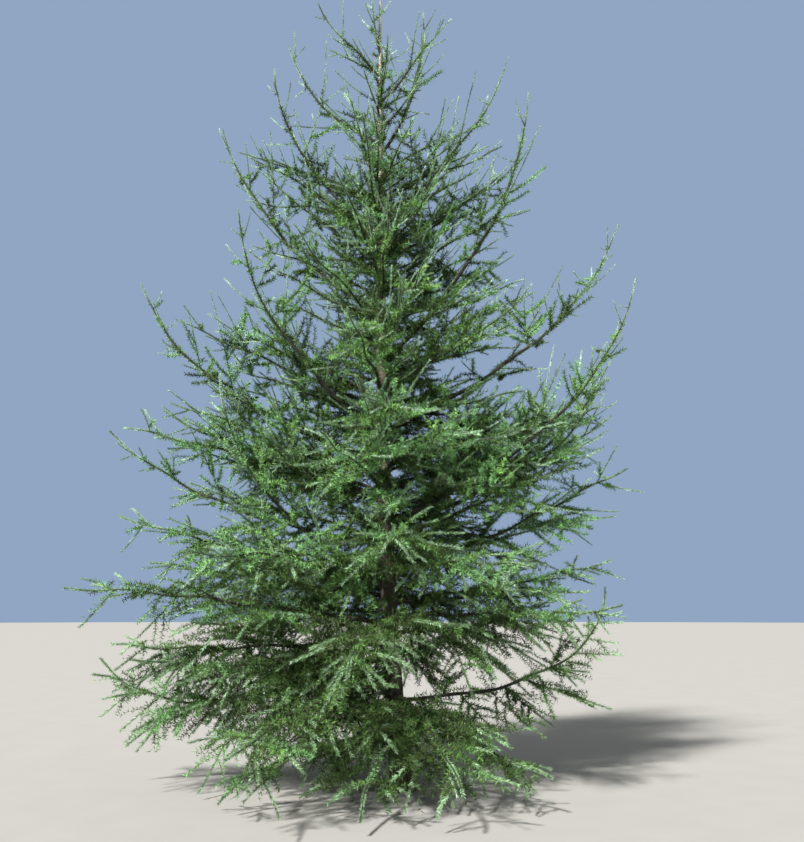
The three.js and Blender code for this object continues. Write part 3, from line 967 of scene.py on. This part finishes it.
TRUNK_FLAKES = (0.02, 0.004)
BOUGH_FLAKES = (0.012, 0.002)
TWIG_FLAKES = (0.008, 0.001)
BARK_ROUGHNESS = 0.88
BARK_TURNS_FROM = 1.8
BARK_TURNS_TO = 5.4
BARK_DARKER = (0.42, 0.38, 0.36)
BARK_PALER = (1.45, 1.42, 1.4)
BARK_BUMP = 0.7
FLAKE_DETAIL = 6
FLAKE_STOPS = ((0.36, 0), (0.62, 1))
PATCH_SCALE = 0.3
PATCH_DETAIL = 3
PATCH_STOPS = ((0.4, 0), (0.66, 1))
NEEDLE_ROUGHNESS = 0.55
NEEDLE_SHEEN = 0.2
# Painted light and shade in part: the drift darkens and lightens the needles in patches, as lit
# and shaded clumps, besides their own random tone
DRIFT_SCALE = 4.5
DRIFT_DETAIL = 3
TONE_AND_LIGHT_STOPS = ((0.34, 0.42), (0.5, 1), (0.66, 1.52))
GRAIN_SCALE = 70
GRAIN_DETAIL = 1
GRAIN_STOPS = ((0.35, 0.8), (0.65, 1.15))


def new_material(name, roughness):
    """A node material, with its node tree, its shader and the place in space to build on."""
    material = bpy.data.materials.new(name)
    material.use_nodes = True
    tree = material.node_tree
    shader = tree.nodes["Principled BSDF"]
    shader.inputs["Roughness"].default_value = roughness
    place = tree.nodes.new("ShaderNodeTexCoord").outputs["Object"]
    return material, tree, shader, place


def noise_node(tree, coordinates, scale, detail):
    noise = tree.nodes.new("ShaderNodeTexNoise")
    noise.inputs["Scale"].default_value = scale
    noise.inputs["Detail"].default_value = detail
    tree.links.new(coordinates, noise.inputs["Vector"])
    return noise


def colour_ramp(tree, value, stops):
    ramp = tree.nodes.new("ShaderNodeValToRGB")
    elements = ramp.color_ramp.elements
    while len(elements) < len(stops):
        elements.new(0.5)
    for element, (position, colour) in zip(elements, stops):
        element.position = position
        element.color = (*colour, 1)
    tree.links.new(value, ramp.inputs["Fac"])
    return ramp


def grey_ramp(tree, value, stops):
    greys = tuple((position, (grey, grey, grey)) for position, grey in stops)
    return colour_ramp(tree, value, greys)


def mix_colours(tree, factor, first, second, blend="MIX"):
    mix = tree.nodes.new("ShaderNodeMix")
    mix.data_type = "RGBA"
    mix.blend_type = blend
    for name, value in (("Factor", factor), ("A", first), ("B", second)):
        socket = mix.inputs[name]
        if isinstance(value, (float, int)):
            socket.default_value = value
        elif isinstance(value, tuple):
            socket.default_value = (*value, 1)
        else:
            tree.links.new(value, socket)
    return mix.outputs["Result"]


def bark_material(name, low_colour, high_colour, flake_size, bump_height):
    """Scaly bark in flakes and patches, from one colour low down to another high up."""
    material, tree, shader, place = new_material(name, BARK_ROUGHNESS)
    nodes, links = tree.nodes, tree.links
    height = nodes.new("ShaderNodeSeparateXYZ")
    links.new(place, height.inputs[0])
    climb = nodes.new("ShaderNodeMapRange")
    climb.inputs["From Min"].default_value = BARK_TURNS_FROM
    climb.inputs["From Max"].default_value = BARK_TURNS_TO
    links.new(height.outputs["Z"], climb.inputs["Value"])
    flakes = noise_node(tree, place, 1 / flake_size, FLAKE_DETAIL)
    patches = noise_node(tree, place, PATCH_SCALE / flake_size, PATCH_DETAIL)
    ground = mix_colours(tree, climb.outputs["Result"], low_colour, high_colour)
    dark = mix_colours(tree, 1.0, ground, BARK_DARKER, "MULTIPLY")
    pale = mix_colours(tree, 1.0, ground, BARK_PALER, "MULTIPLY")
    fine = grey_ramp(tree, flakes.outputs["Fac"], FLAKE_STOPS)
    broad = grey_ramp(tree, patches.outputs["Fac"], PATCH_STOPS)
    base = mix_colours(tree, fine.outputs["Color"], dark, ground)
    base = mix_colours(tree, broad.outputs["Color"], base, pale)
    links.new(base, shader.inputs["Base Color"])
    bump = nodes.new("ShaderNodeBump")
    bump.inputs["Distance"].default_value = bump_height
    bump.inputs["Strength"].default_value = BARK_BUMP
    links.new(flakes.outputs["Fac"], bump.inputs["Height"])
    links.new(bump.outputs["Normal"], shader.inputs["Normal"])
    return material


def needle_material(name, colour):
    """Soft needles: one base colour, which grows darker and lighter from place to place, partly as
    tone that differs at random and partly as painted light and shade of sunlit and shaded clumps.
    """
    material, tree, shader, place = new_material(name, NEEDLE_ROUGHNESS)
    # Painted light and shade in part: lighter and darker patches stand for lit and shaded clumps
    tone_and_light = noise_node(tree, place, DRIFT_SCALE, DRIFT_DETAIL)
    grain = noise_node(tree, place, GRAIN_SCALE, GRAIN_DETAIL)
    stops = tuple(
        (position, tuple(share * channel for channel in colour))
        for position, share in TONE_AND_LIGHT_STOPS)
    base = colour_ramp(tree, tone_and_light.outputs["Fac"], stops)
    tone = grey_ramp(tree, grain.outputs["Fac"], GRAIN_STOPS)
    mixed = mix_colours(
        tree, 1.0, base.outputs["Color"], tone.outputs["Color"], "MULTIPLY")
    tree.links.new(mixed, shader.inputs["Base Color"])
    shader.inputs["Specular IOR Level"].default_value = NEEDLE_SHEEN
    return material


# Settings

def colour_setting(name, description, default):
    return bpy.props.FloatVectorProperty(
        name=name, description=description, default=default, min=0, max=1, subtype="COLOR")


def length_setting(name, description, default, least, most):
    return bpy.props.FloatProperty(
        name=name, description=description, default=default, min=least, max=most, unit="LENGTH")


class TamarackWoodSettings(bpy.types.PropertyGroup):
    trunk_sides: bpy.props.IntProperty(
        name="Trunk Sides", description="Points round the trunk", default=40, min=16, max=128)
    trunk_rings: bpy.props.IntProperty(
        name="Trunk Rings", description="Rings up the trunk", default=330, min=60, max=1200)
    plate_depth: length_setting("Plate Depth", "How far bark plates stand out", 0.0035, 0, 0.02)
    plate_size: length_setting("Plate Size", "Width of a bark plate", 0.026, 0.005, 0.1)
    # Painted shade in part: the lower bark is darker for the shade of the crown around it, as well
    # as its own darker colour
    low_bark_and_shade: colour_setting(
        "Lower Bark", "Bark colour near the ground", (0.055, 0.047, 0.036))
    high_bark: colour_setting(
        "Upper Bark", "Bark colour in the upper crown", (0.42, 0.37, 0.28))
    # Painted shade in part: the bough bark is darkened for the shade the limbs sit in, besides its
    # own dark grey-brown
    bough_bark: colour_setting(
        "Bough Bark", "Bark colour of the boughs", (0.040, 0.036, 0.029))
    twig_bark: colour_setting(
        "Twig Bark", "Bark colour of the side shoots and twigs", (0.078, 0.086, 0.042))


class TamarackNeedleSettings(bpy.types.PropertyGroup):
    needle_length: length_setting(
        "Needle Length", "Length of an outer needle, longer than life", 0.038, 0.01, 0.08)
    needle_width: length_setting(
        "Needle Width", "Width of a needle at its foot, wider than life", 0.0085, 0.0005, 0.02)
    needle_count: bpy.props.IntProperty(
        name="Needle Count", description="Needles on the whole tree",
        default=875000, min=1000, max=950000)
    # The shade and deep greens are painted shade, dealt to needles further in and low down
    shade: colour_setting(
        "Shade Green", "Needles deep inside the crown", (0.052, 0.106, 0.027))
    deep: colour_setting(
        "Deep Green", "Needles of the inner crown", (0.125, 0.261, 0.073))
    leaf: colour_setting(
        "Leaf Green", "Needles of the outer crown", (0.163, 0.345, 0.130))
    # Fresh green is painted sunlight, a yellower tint for outer needles in the light
    fresh: colour_setting(
        "Fresh Green", "Yellower needles in the light", (0.188, 0.380, 0.106))
    blue: colour_setting(
        "Blue Green", "Bloomed needles of outer shoots", (0.196, 0.324, 0.162))
    pale: colour_setting(
        "Pale Green", "Needles of this year's whips", (0.338, 0.520, 0.366))


class TamarackStageSettings(bpy.types.PropertyGroup):
    floor_radius: length_setting(
        "Floor Radius", "How far the round floor reaches", 150.0, 1, 1000)
    floor_colour: colour_setting("Floor", "Colour of the floor", (0.36, 0.36, 0.348))
    backdrop_colour: colour_setting("Backdrop", "Colour of the backdrop", (0.28, 0.38, 0.54))
    sky_colour: colour_setting(
        "Even Light Colour", "Colour of the even light all round", (0.86, 0.90, 0.92))
    sky_strength: bpy.props.FloatProperty(
        name="Even Light", description="Strength of the even light", default=0.36, min=0, max=5)
    key_strength: bpy.props.FloatProperty(
        name="Key Light", description="Strength of the key light", default=7.3, min=0, max=20)
    key_colour: colour_setting("Key Light Colour", "Colour of the key light", (1.0, 0.96, 0.9))
    key_softness: bpy.props.FloatProperty(
        name="Key Softness", description="Spread of the key light",
        default=math.radians(5), min=0, max=math.pi, subtype="ANGLE")
    eye_height: length_setting("Eye Height", "Height of the camera", 1.6, 0, 20)
    eye_distance: length_setting(
        "Eye Distance", "Camera's distance from the trunk", 8.8, 1, 100)
    eye_pitch: bpy.props.FloatProperty(
        name="Eye Pitch", description="How far the camera looks up",
        default=math.radians(12), subtype="ANGLE")
    lens: bpy.props.FloatProperty(
        name="Lens", description="Focal length in millimetres on a 36 mm frame", default=38.48)


# Operators

class TAMARACK_OT_trunk(bpy.types.Operator):
    """Builds the trunk with its root flare and bark plates."""
    bl_idname = "tamarack.trunk"
    bl_label = "Build Trunk"

    def execute(self, context):
        wood = context.scene.tamarack_wood
        sides = wood.trunk_sides
        rings = wood.trunk_rings
        climb = np.linspace(0, 1, rings) ** RING_CROWDING
        height = np.repeat((TREE_HEIGHT - LEADER_TIP) * climb[:, None], sides, axis=1)
        angle = np.repeat((2 * math.pi * np.arange(sides) / sides)[None], rings, axis=0)
        radius = trunk_radius(height, angle)
        cells_round = round(2 * math.pi * TRUNK_BASE_RADIUS / wood.plate_size)
        across = angle * cells_round / (2 * math.pi)
        plates = plate_relief(across, height / (PLATE_TALLNESS * wood.plate_size), cells_round)
        slimness = np.clip(radius / TRUNK_BASE_RADIUS, 0, 1)
        radius = radius + wood.plate_depth * slimness * (plates - PLATE_LEVEL)
        centre = trunk_centre(height)
        round_trunk = np.stack([np.cos(angle), np.sin(angle), 0 * angle], -1)
        points = centre + radius[..., None] * round_trunk
        points = np.concatenate([points.reshape(-1, 3), trunk_centre([TREE_HEIGHT])])
        faces = tube_faces(rings, sides)
        # The trunk turns from the darker low bark, partly painted shade, to the upper bark
        material = bark_material(
            "trunk_bark", tuple(wood.low_bark_and_shade), tuple(wood.high_bark), *TRUNK_FLAKES)
        add_piece("trunk_bark", points, faces, material, ["trunk"], True)
        return {"FINISHED"}


class TAMARACK_OT_boughs(bpy.types.Operator):
    """Builds every bough whole, from its collar at the trunk to its tip."""
    bl_idname = "tamarack.boughs"
    bl_label = "Build Boughs"

    rings: bpy.props.IntProperty(
        name="Rings", description="Rings along a bough", default=24, min=8, max=200)
    sides: bpy.props.IntProperty(
        name="Sides", description="Points round a bough", default=7, min=5, max=32)

    def execute(self, context):
        shares = np.linspace(0, 1, self.rings)
        boughs = grown_tree()["boughs"]
        centres = np.stack([bough.points(shares) for bough in boughs])
        radii = np.stack([bough.radius(shares) for bough in boughs])
        wobble = np.random.default_rng(WOBBLE_SEED).normal(0, BOUGH_WOBBLE, radii.shape)
        radii = radii * (1 + wobble)
        across = np.stack([bough.across for bough in boughs])
        points, faces = round_tubes(centres, radii, across, self.sides)
        # The bough bark colour is partly painted shade
        colour = tuple(context.scene.tamarack_wood.bough_bark)
        material = bark_material("bough_bark", colour, colour, *BOUGH_FLAKES)
        nodes = BOUGH_NODES + FOLIAGE_NODES
        add_piece("bough_bark", points, faces, material, nodes, True)
        return {"FINISHED"}


class TAMARACK_OT_twigs(bpy.types.Operator):
    """Builds the side shoots and the twigs that they carry."""
    bl_idname = "tamarack.twigs"
    bl_label = "Build Twigs"

    def execute(self, context):
        colour = tuple(context.scene.tamarack_wood.twig_bark)
        material = bark_material("twig_bark", colour, colour, *TWIG_FLAKES)
        tree = grown_tree()
        shoots = tree["shoots"]
        thick = rising(SHOOT_RADIUS, shoots["length"])
        root = np.minimum(SHOOT_TO_BOUGH * shoots["root_radius"], thick)
        self.add_tubes(
            "side_shoots", shoots["controls"], root, SHOOT_TIP_RADIUS, SHOOT_RINGS, material)
        twigs = tree["twigs"]
        controls = twigs["controls"]
        root = np.minimum(TWIG_THICKEST, rising(TWIG_RADIUS, twigs["length"]))
        long = twigs["length"] > LONG_TWIG
        self.add_tubes(
            "long_twigs", controls[long], root[long], TWIG_TIP_RADIUS, LONG_TWIG_RINGS, material)
        self.add_tubes(
            "short_twigs", controls[~long], root[~long], TWIG_TIP_RADIUS, SHORT_TWIG_RINGS,
            material)
        return {"FINISHED"}

    @staticmethod
    def add_tubes(name, controls, root_radius, tip_radius, rings, material):
        t = np.linspace(0, 1, rings)[None, :, None]
        a, b, c = (controls[:, None, column] for column in range(3))
        centres = curved(t, a, b, c)
        radii = between((root_radius[:, None], tip_radius), t[0, :, 0][None])
        across = perpendicular(unit(controls[:, 2] - controls[:, 0]))
        points, faces = round_tubes(centres, radii, across, TWIG_SIDES)
        add_piece(name, points, faces, material, FOLIAGE_NODES, True)


def leafy_lines():
    """Every line that bears needles.

    Gives curves of three control points, the wood's radius at both ends, how
    far out and how high each line stands from 0 to 1, where along it this
    year's growth begins, how thickly it is set and which spray it belongs to.
    """
    tree = grown_tree()
    boughs = tree["boughs"]
    lines = [bough_lines(bough, number) for number, bough in enumerate(boughs)]
    lines.append(leader_lines(len(boughs)))
    lines.append(shoot_lines(tree["shoots"], len(boughs) + 1))
    lines.append(twig_lines(tree["shoots"], tree["twigs"], len(boughs) + 1))
    return tuple(np.concatenate(parts) for parts in zip(*lines))


def bough_lines(bough, spray):
    """A bough as a chain of lines, from near its root to its tip."""
    count = max(FEWEST_BOUGH_LINES, round(bough.length / BOUGH_LINE_LENGTH))
    cuts = np.linspace(BOUGH_NEEDLES_FROM, 1, count + 1)
    ends = bough.points(cuts)
    middles = bough.points((cuts[1:] + cuts[:-1]) / 2)
    bends = 2 * middles - 0.5 * (ends[1:] + ends[:-1])
    fresh = np.where(cuts[1:] * bough.length > bough.length - YOUNG_BOUGH_END, 0.0, 1.0)
    bare = LIMB_NEEDLES if bough.limb else BOUGH_NEEDLES
    leafy = np.clip((cuts[1:] - TIP_NEEDLES_FROM) / TIP_NEEDLES_WITHIN, 0, 1)
    leafy = between((bare, TIP_NEEDLES), leafy)
    return (
        np.stack([ends[:-1], bends, ends[1:]], axis=1),
        np.stack([bough.radius(cuts[:-1]), bough.radius(cuts[1:])], 1),
        np.stack([cuts[1:], np.full(count, bough.high)], 1),
        fresh,
        np.where(fresh > 0, leafy, YOUNG_BOUGH_NEEDLES),
        np.full(count, spray),
    )


def leader_lines(spray):
    """The trunk's top as a chain of lines."""
    low, high = LEADER_NEEDLES_FROM * TREE_HEIGHT, LEADER_NEEDLES_TO * TREE_HEIGHT
    leader = np.linspace(low, high, LEADER_LINES + 1)
    ends = trunk_centre(leader)
    radius = trunk_radius(leader, 0.0)
    return (
        np.stack([ends[:-1], (ends[:-1] + ends[1:]) / 2, ends[1:]], axis=1),
        np.stack([radius[:-1], radius[1:]], 1),
        np.stack([np.full(LEADER_LINES, LEADER_PLACE), np.ones(LEADER_LINES)], 1),
        np.where(leader[1:] > TREE_HEIGHT - YOUNG_LEADER, 0.0, 1.0),
        np.full(LEADER_LINES, LEADER_NEEDLES),
        np.full(LEADER_LINES, spray),
    )


def shoot_lines(shoots, first_spray):
    """One line for each side shoot, this year's from where its whip begins."""
    count = len(shoots["share"])
    return (
        shoots["controls"],
        np.tile(SHOOT_RADII, (count, 1)),
        np.stack([shoots["share"], shoots["high"]], 1),
        1 - whip_share(shoots),
        np.full(count, SHOOT_NEEDLES),
        first_spray + np.arange(count),
    )


def twig_lines(shoots, twigs, first_spray):
    """One line for each twig, set more thickly on some side shoots than on others."""
    owner = twigs["owner"]
    high = shoots["high"][owner]
    outer = shoots["share"][owner] * SHOOT_PLACE_SHARE + TWIG_PLACE_SHARE * twigs["share"]
    rng = np.random.default_rng(FULLNESS_SEED)
    fullness = rng.uniform(*SPRAY_FULLNESS, len(shoots["share"]))[owner]
    leafy = between(TWIG_NEEDLES, outer)
    return (
        twigs["controls"],
        np.tile(TWIG_RADII, (len(owner), 1)),
        np.stack([outer, high], 1),
        np.where(outer > YOUNG_TWIGS_FROM, YOUNG_TWIG_START, 1.0),
        leafy * fullness * (1 + HIGH_TWIG_GAIN * high),
        first_spray + owner,
    )


class TAMARACK_OT_needles(bpy.types.Operator):
    """Sets needles along every bough, shoot and twig, in six tints."""
    bl_idname = "tamarack.needles"
    bl_label = "Build Needles"

    def execute(self, context):
        settings = context.scene.tamarack_needles
        rng = np.random.default_rng(NEEDLE_SEED)
        curves, radii, places, fresh, weights, sprays = leafy_lines()
        lengths = np.linalg.norm(curves[:, 1] - curves[:, 0], axis=1)
        lengths = lengths + np.linalg.norm(curves[:, 2] - curves[:, 1], axis=1)
        stretch = fresh + YOUNG_DENSITY * (1 - fresh)
        shares = lengths * weights * stretch
        counts = shares * settings.needle_count / shares.sum() + rng.random(len(lengths))
        counts = np.maximum(1, np.floor(counts)).astype(int)
        owner, order = dealt(counts)
        share = (order + rng.random(len(order))) / counts[owner] * stretch[owner]
        old_end = fresh[owner]
        young = share > old_end
        share = np.where(young, old_end + (share - old_end) / YOUNG_DENSITY, share)
        tints = self.deal_tints(places, sprays, rng)[owner]
        outer = places[owner[young], 0] > PALE_FROM
        high = places[owner, 1]
        pale = outer & (rng.random(young.sum()) < rising(PALE_SHARE, high[young]))
        tints[young] = np.where(pale, PALE, BLUE)
        step = TUFT_NEEDLES * stretch[owner] / counts[owner]
        tuft = np.floor(share / step)
        share = np.where(young, share, np.minimum((tuft + 0.5) * step, old_end))
        spiral = GOLDEN_ANGLE * np.where(young, order, tuft)
        spiral += rng.uniform(0, 2 * math.pi, len(counts))[owner]
        root, along = quadratic({"controls": curves}, owner, share)
        radius = between(radii[owner].T, share)
        size = INNER_SIZE - SIZE_LOSS * places[owner, 0]
        size *= np.where(young, YOUNG_LENGTH - YOUNG_SHORTENING * high, 1.0)
        points, keep = self.needles(settings, root, along, radius, young, spiral, size, rng)
        for tint, name in enumerate(TINT_NAMES):
            chosen = points[(tints == tint) & keep]
            material = needle_material(f"needle_{name}", tuple(getattr(settings, name)))
            parts = math.ceil(len(chosen) / MOST_TRIANGLES)
            for part, some in enumerate(np.array_split(chosen, parts)):
                faces = np.arange(3 * len(some)).reshape(-1, 3)
                label = f"needles_{name}_{part + 1}"
                corners = some.reshape(-1, 3)
                add_piece(
                    label, corners, faces, material, FOLIAGE_NODES, False)
        return {"FINISHED"}

    @staticmethod
    def deal_tints(places, sprays, rng):
        """A tint for each line, by its spray: darker inside and low down as painted shade, lighter
        at mid height as painted light, and fresh, blue or leaf outside, the fresh as painted
        sunlight.
        """
        spray_shift = rng.normal(0, SPRAY_TINT_SPREAD, sprays.max() + 1)[sprays]
        outer = places[:, 0] + spray_shift + rng.normal(0, LINE_TINT_SPREAD, len(places))
        # Painted light and shade: the place shifts darker low down and at the top, lighter at mid
        # height
        outer += np.interp(places[:, 1], TINT_HEIGHTS, LIGHT_AND_SHADE_SHIFTS)
        draw = rng.random(sprays.max() + 1)[sprays]
        tints = np.full(len(places), LEAF)
        # Painted shade: lines further in get the darker deep and shade tints
        tints[outer < DEEP_BELOW] = DEEP
        tints[outer < SHADE_BELOW] = SHADE
        # Painted sunlight: lines far enough out count as in the light and get the blue or the
        # yellower fresh tint
        light = outer > LIGHT_ABOVE
        sunlit_end = rising(SUNLIT_END, places[:, 1])
        tints[light & (draw < BLUE_END)] = BLUE
        tints[light & (draw > BLUE_END) & (draw < sunlit_end)] = SUNLIT
        return tints

    @staticmethod
    def needles(settings, root, along, radius, young, spiral, size, rng):
        """Three points for each needle, its foot's two corners and its tip, and which to keep."""
        total = len(root)
        across = perpendicular(along)
        above = np.cross(along, across)
        outward = turned(spiral, across, above)
        around = np.cross(along, outward)
        lean = np.where(young, rng.uniform(*YOUNG_LEAN, total), rng.uniform(*TUFT_LEAN, total))
        swing = np.where(young, 0.0, rng.uniform(-TUFT_SWING, TUFT_SWING, total))
        heading = outward + lean[:, None] * along + swing[:, None] * around
        direction = unit(heading + NEEDLE_LIFT * UP)
        length = settings.needle_length * size * rng.uniform(*NEEDLE_LENGTHS, total)
        foot = root + (NEEDLE_ROOTING * radius)[:, None] * outward
        width = unit(np.cross(direction, rng.normal(0, 1, (total, 3))))
        half = (0.5 * settings.needle_width * np.maximum(size, NARROWEST))[:, None]
        tip = foot + length[:, None] * direction
        points = np.stack([foot - half * width, foot + half * width, tip], axis=1)
        return points, inside(tip, LOWEST_NEEDLE_TIP)


class TAMARACK_OT_stage(bpy.types.Operator):
    """Sets the floor, the lights and the camera."""
    bl_idname = "tamarack.stage"
    bl_label = "Set Stage"

    def execute(self, context):
        settings = context.scene.tamarack_stage
        scene = context.scene
        scene.view_settings.view_transform = "Standard"
        self.add_floor(settings)
        self.add_lights(settings)
        camera = bpy.data.cameras.new("camera")
        camera.lens = settings.lens
        camera.sensor_width = SENSOR_WIDTH
        camera.clip_end = VIEW_REACH
        eye = add_object("camera", camera)
        eye.location = (0, -settings.eye_distance, settings.eye_height)
        eye.rotation_euler = (math.pi / 2 + settings.eye_pitch, 0, 0)
        scene.camera = eye
        return {"FINISHED"}

    @staticmethod
    def add_floor(settings):
        turns = np.linspace(0, 2 * math.pi, FLOOR_SIDES, endpoint=False)
        rim = settings.floor_radius * np.stack([np.cos(turns), np.sin(turns), 0 * turns], axis=1)
        mesh = bpy.data.meshes.new("floor")
        mesh.from_pydata(rim.tolist(), [], [tuple(range(len(rim)))])
        material, tree, shader, place = new_material("floor", FLOOR_ROUGHNESS)
        grain = noise_node(tree, place, FLOOR_GRAIN, FLOOR_DETAIL)
        colour = tuple(settings.floor_colour)
        paler = tuple(FLOOR_PALER * channel for channel in colour)
        low, high = FLOOR_STOPS
        ramp = colour_ramp(tree, grain.outputs["Fac"], ((low, colour), (high, paler)))
        tree.links.new(ramp.outputs["Color"], shader.inputs["Base Color"])
        mesh.materials.append(material)
        floor = add_object("floor", mesh)
        floor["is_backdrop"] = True

    @staticmethod
    def add_lights(settings):
        world = bpy.data.worlds.new("studio")
        world.use_nodes = True
        nodes = world.node_tree.nodes
        links = world.node_tree.links
        light = nodes["Background"]
        light.inputs["Color"].default_value = (*settings.sky_colour, 1)
        light.inputs["Strength"].default_value = settings.sky_strength
        backdrop = nodes.new("ShaderNodeBackground")
        backdrop.inputs["Color"].default_value = (*settings.backdrop_colour, 1)
        seen = nodes.new("ShaderNodeLightPath").outputs["Is Camera Ray"]
        mix = nodes.new("ShaderNodeMixShader")
        links.new(seen, mix.inputs["Fac"])
        links.new(light.outputs["Background"], mix.inputs[1])
        links.new(backdrop.outputs["Background"], mix.inputs[2])
        links.new(mix.outputs["Shader"], nodes["World Output"].inputs["Surface"])
        bpy.context.scene.world = world
        lamp = bpy.data.lights.new("key", "SUN")
        lamp.energy = settings.key_strength
        lamp.angle = settings.key_softness
        lamp.color = settings.key_colour
        add_object("key", lamp).rotation_euler = KEY_TURN


class TAMARACK_PT_tree(bpy.types.Panel):
    """Lists the steps that build the tree."""
    bl_label = "Tamarack"
    bl_idname = "TAMARACK_PT_tree"
    bl_space_type = "VIEW_3D"
    bl_region_type = "UI"
    bl_category = "Tamarack"

    def draw(self, context):
        layout = self.layout
        for operator in STEPS:
            layout.operator(operator.bl_idname)
        for group in ("tamarack_wood", "tamarack_needles", "tamarack_stage"):
            box = layout.box()
            settings = getattr(context.scene, group)
            for name in settings.__annotations__:
                box.prop(settings, name)


GROUPS = {
    "tamarack_wood": TamarackWoodSettings,
    "tamarack_needles": TamarackNeedleSettings,
    "tamarack_stage": TamarackStageSettings,
}
STEPS = (
    TAMARACK_OT_stage,
    TAMARACK_OT_trunk,
    TAMARACK_OT_boughs,
    TAMARACK_OT_twigs,
    TAMARACK_OT_needles,
)


def register():
    for name, group in GROUPS.items():
        bpy.utils.register_class(group)
        setattr(bpy.types.Scene, name, bpy.props.PointerProperty(type=group))
    for operator in STEPS:
        bpy.utils.register_class(operator)
    bpy.utils.register_class(TAMARACK_PT_tree)


def unregister():
    bpy.utils.unregister_class(TAMARACK_PT_tree)
    for operator in reversed(STEPS):
        bpy.utils.unregister_class(operator)
    for name, group in GROUPS.items():
        delattr(bpy.types.Scene, name)
        bpy.utils.unregister_class(group)


def main():
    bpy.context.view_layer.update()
    register()
    bpy.ops.tamarack.stage()
    bpy.ops.tamarack.trunk()
    bpy.ops.tamarack.boughs()
    bpy.ops.tamarack.twigs()
    bpy.ops.tamarack.needles()


if __name__ == "__main__":
    main()
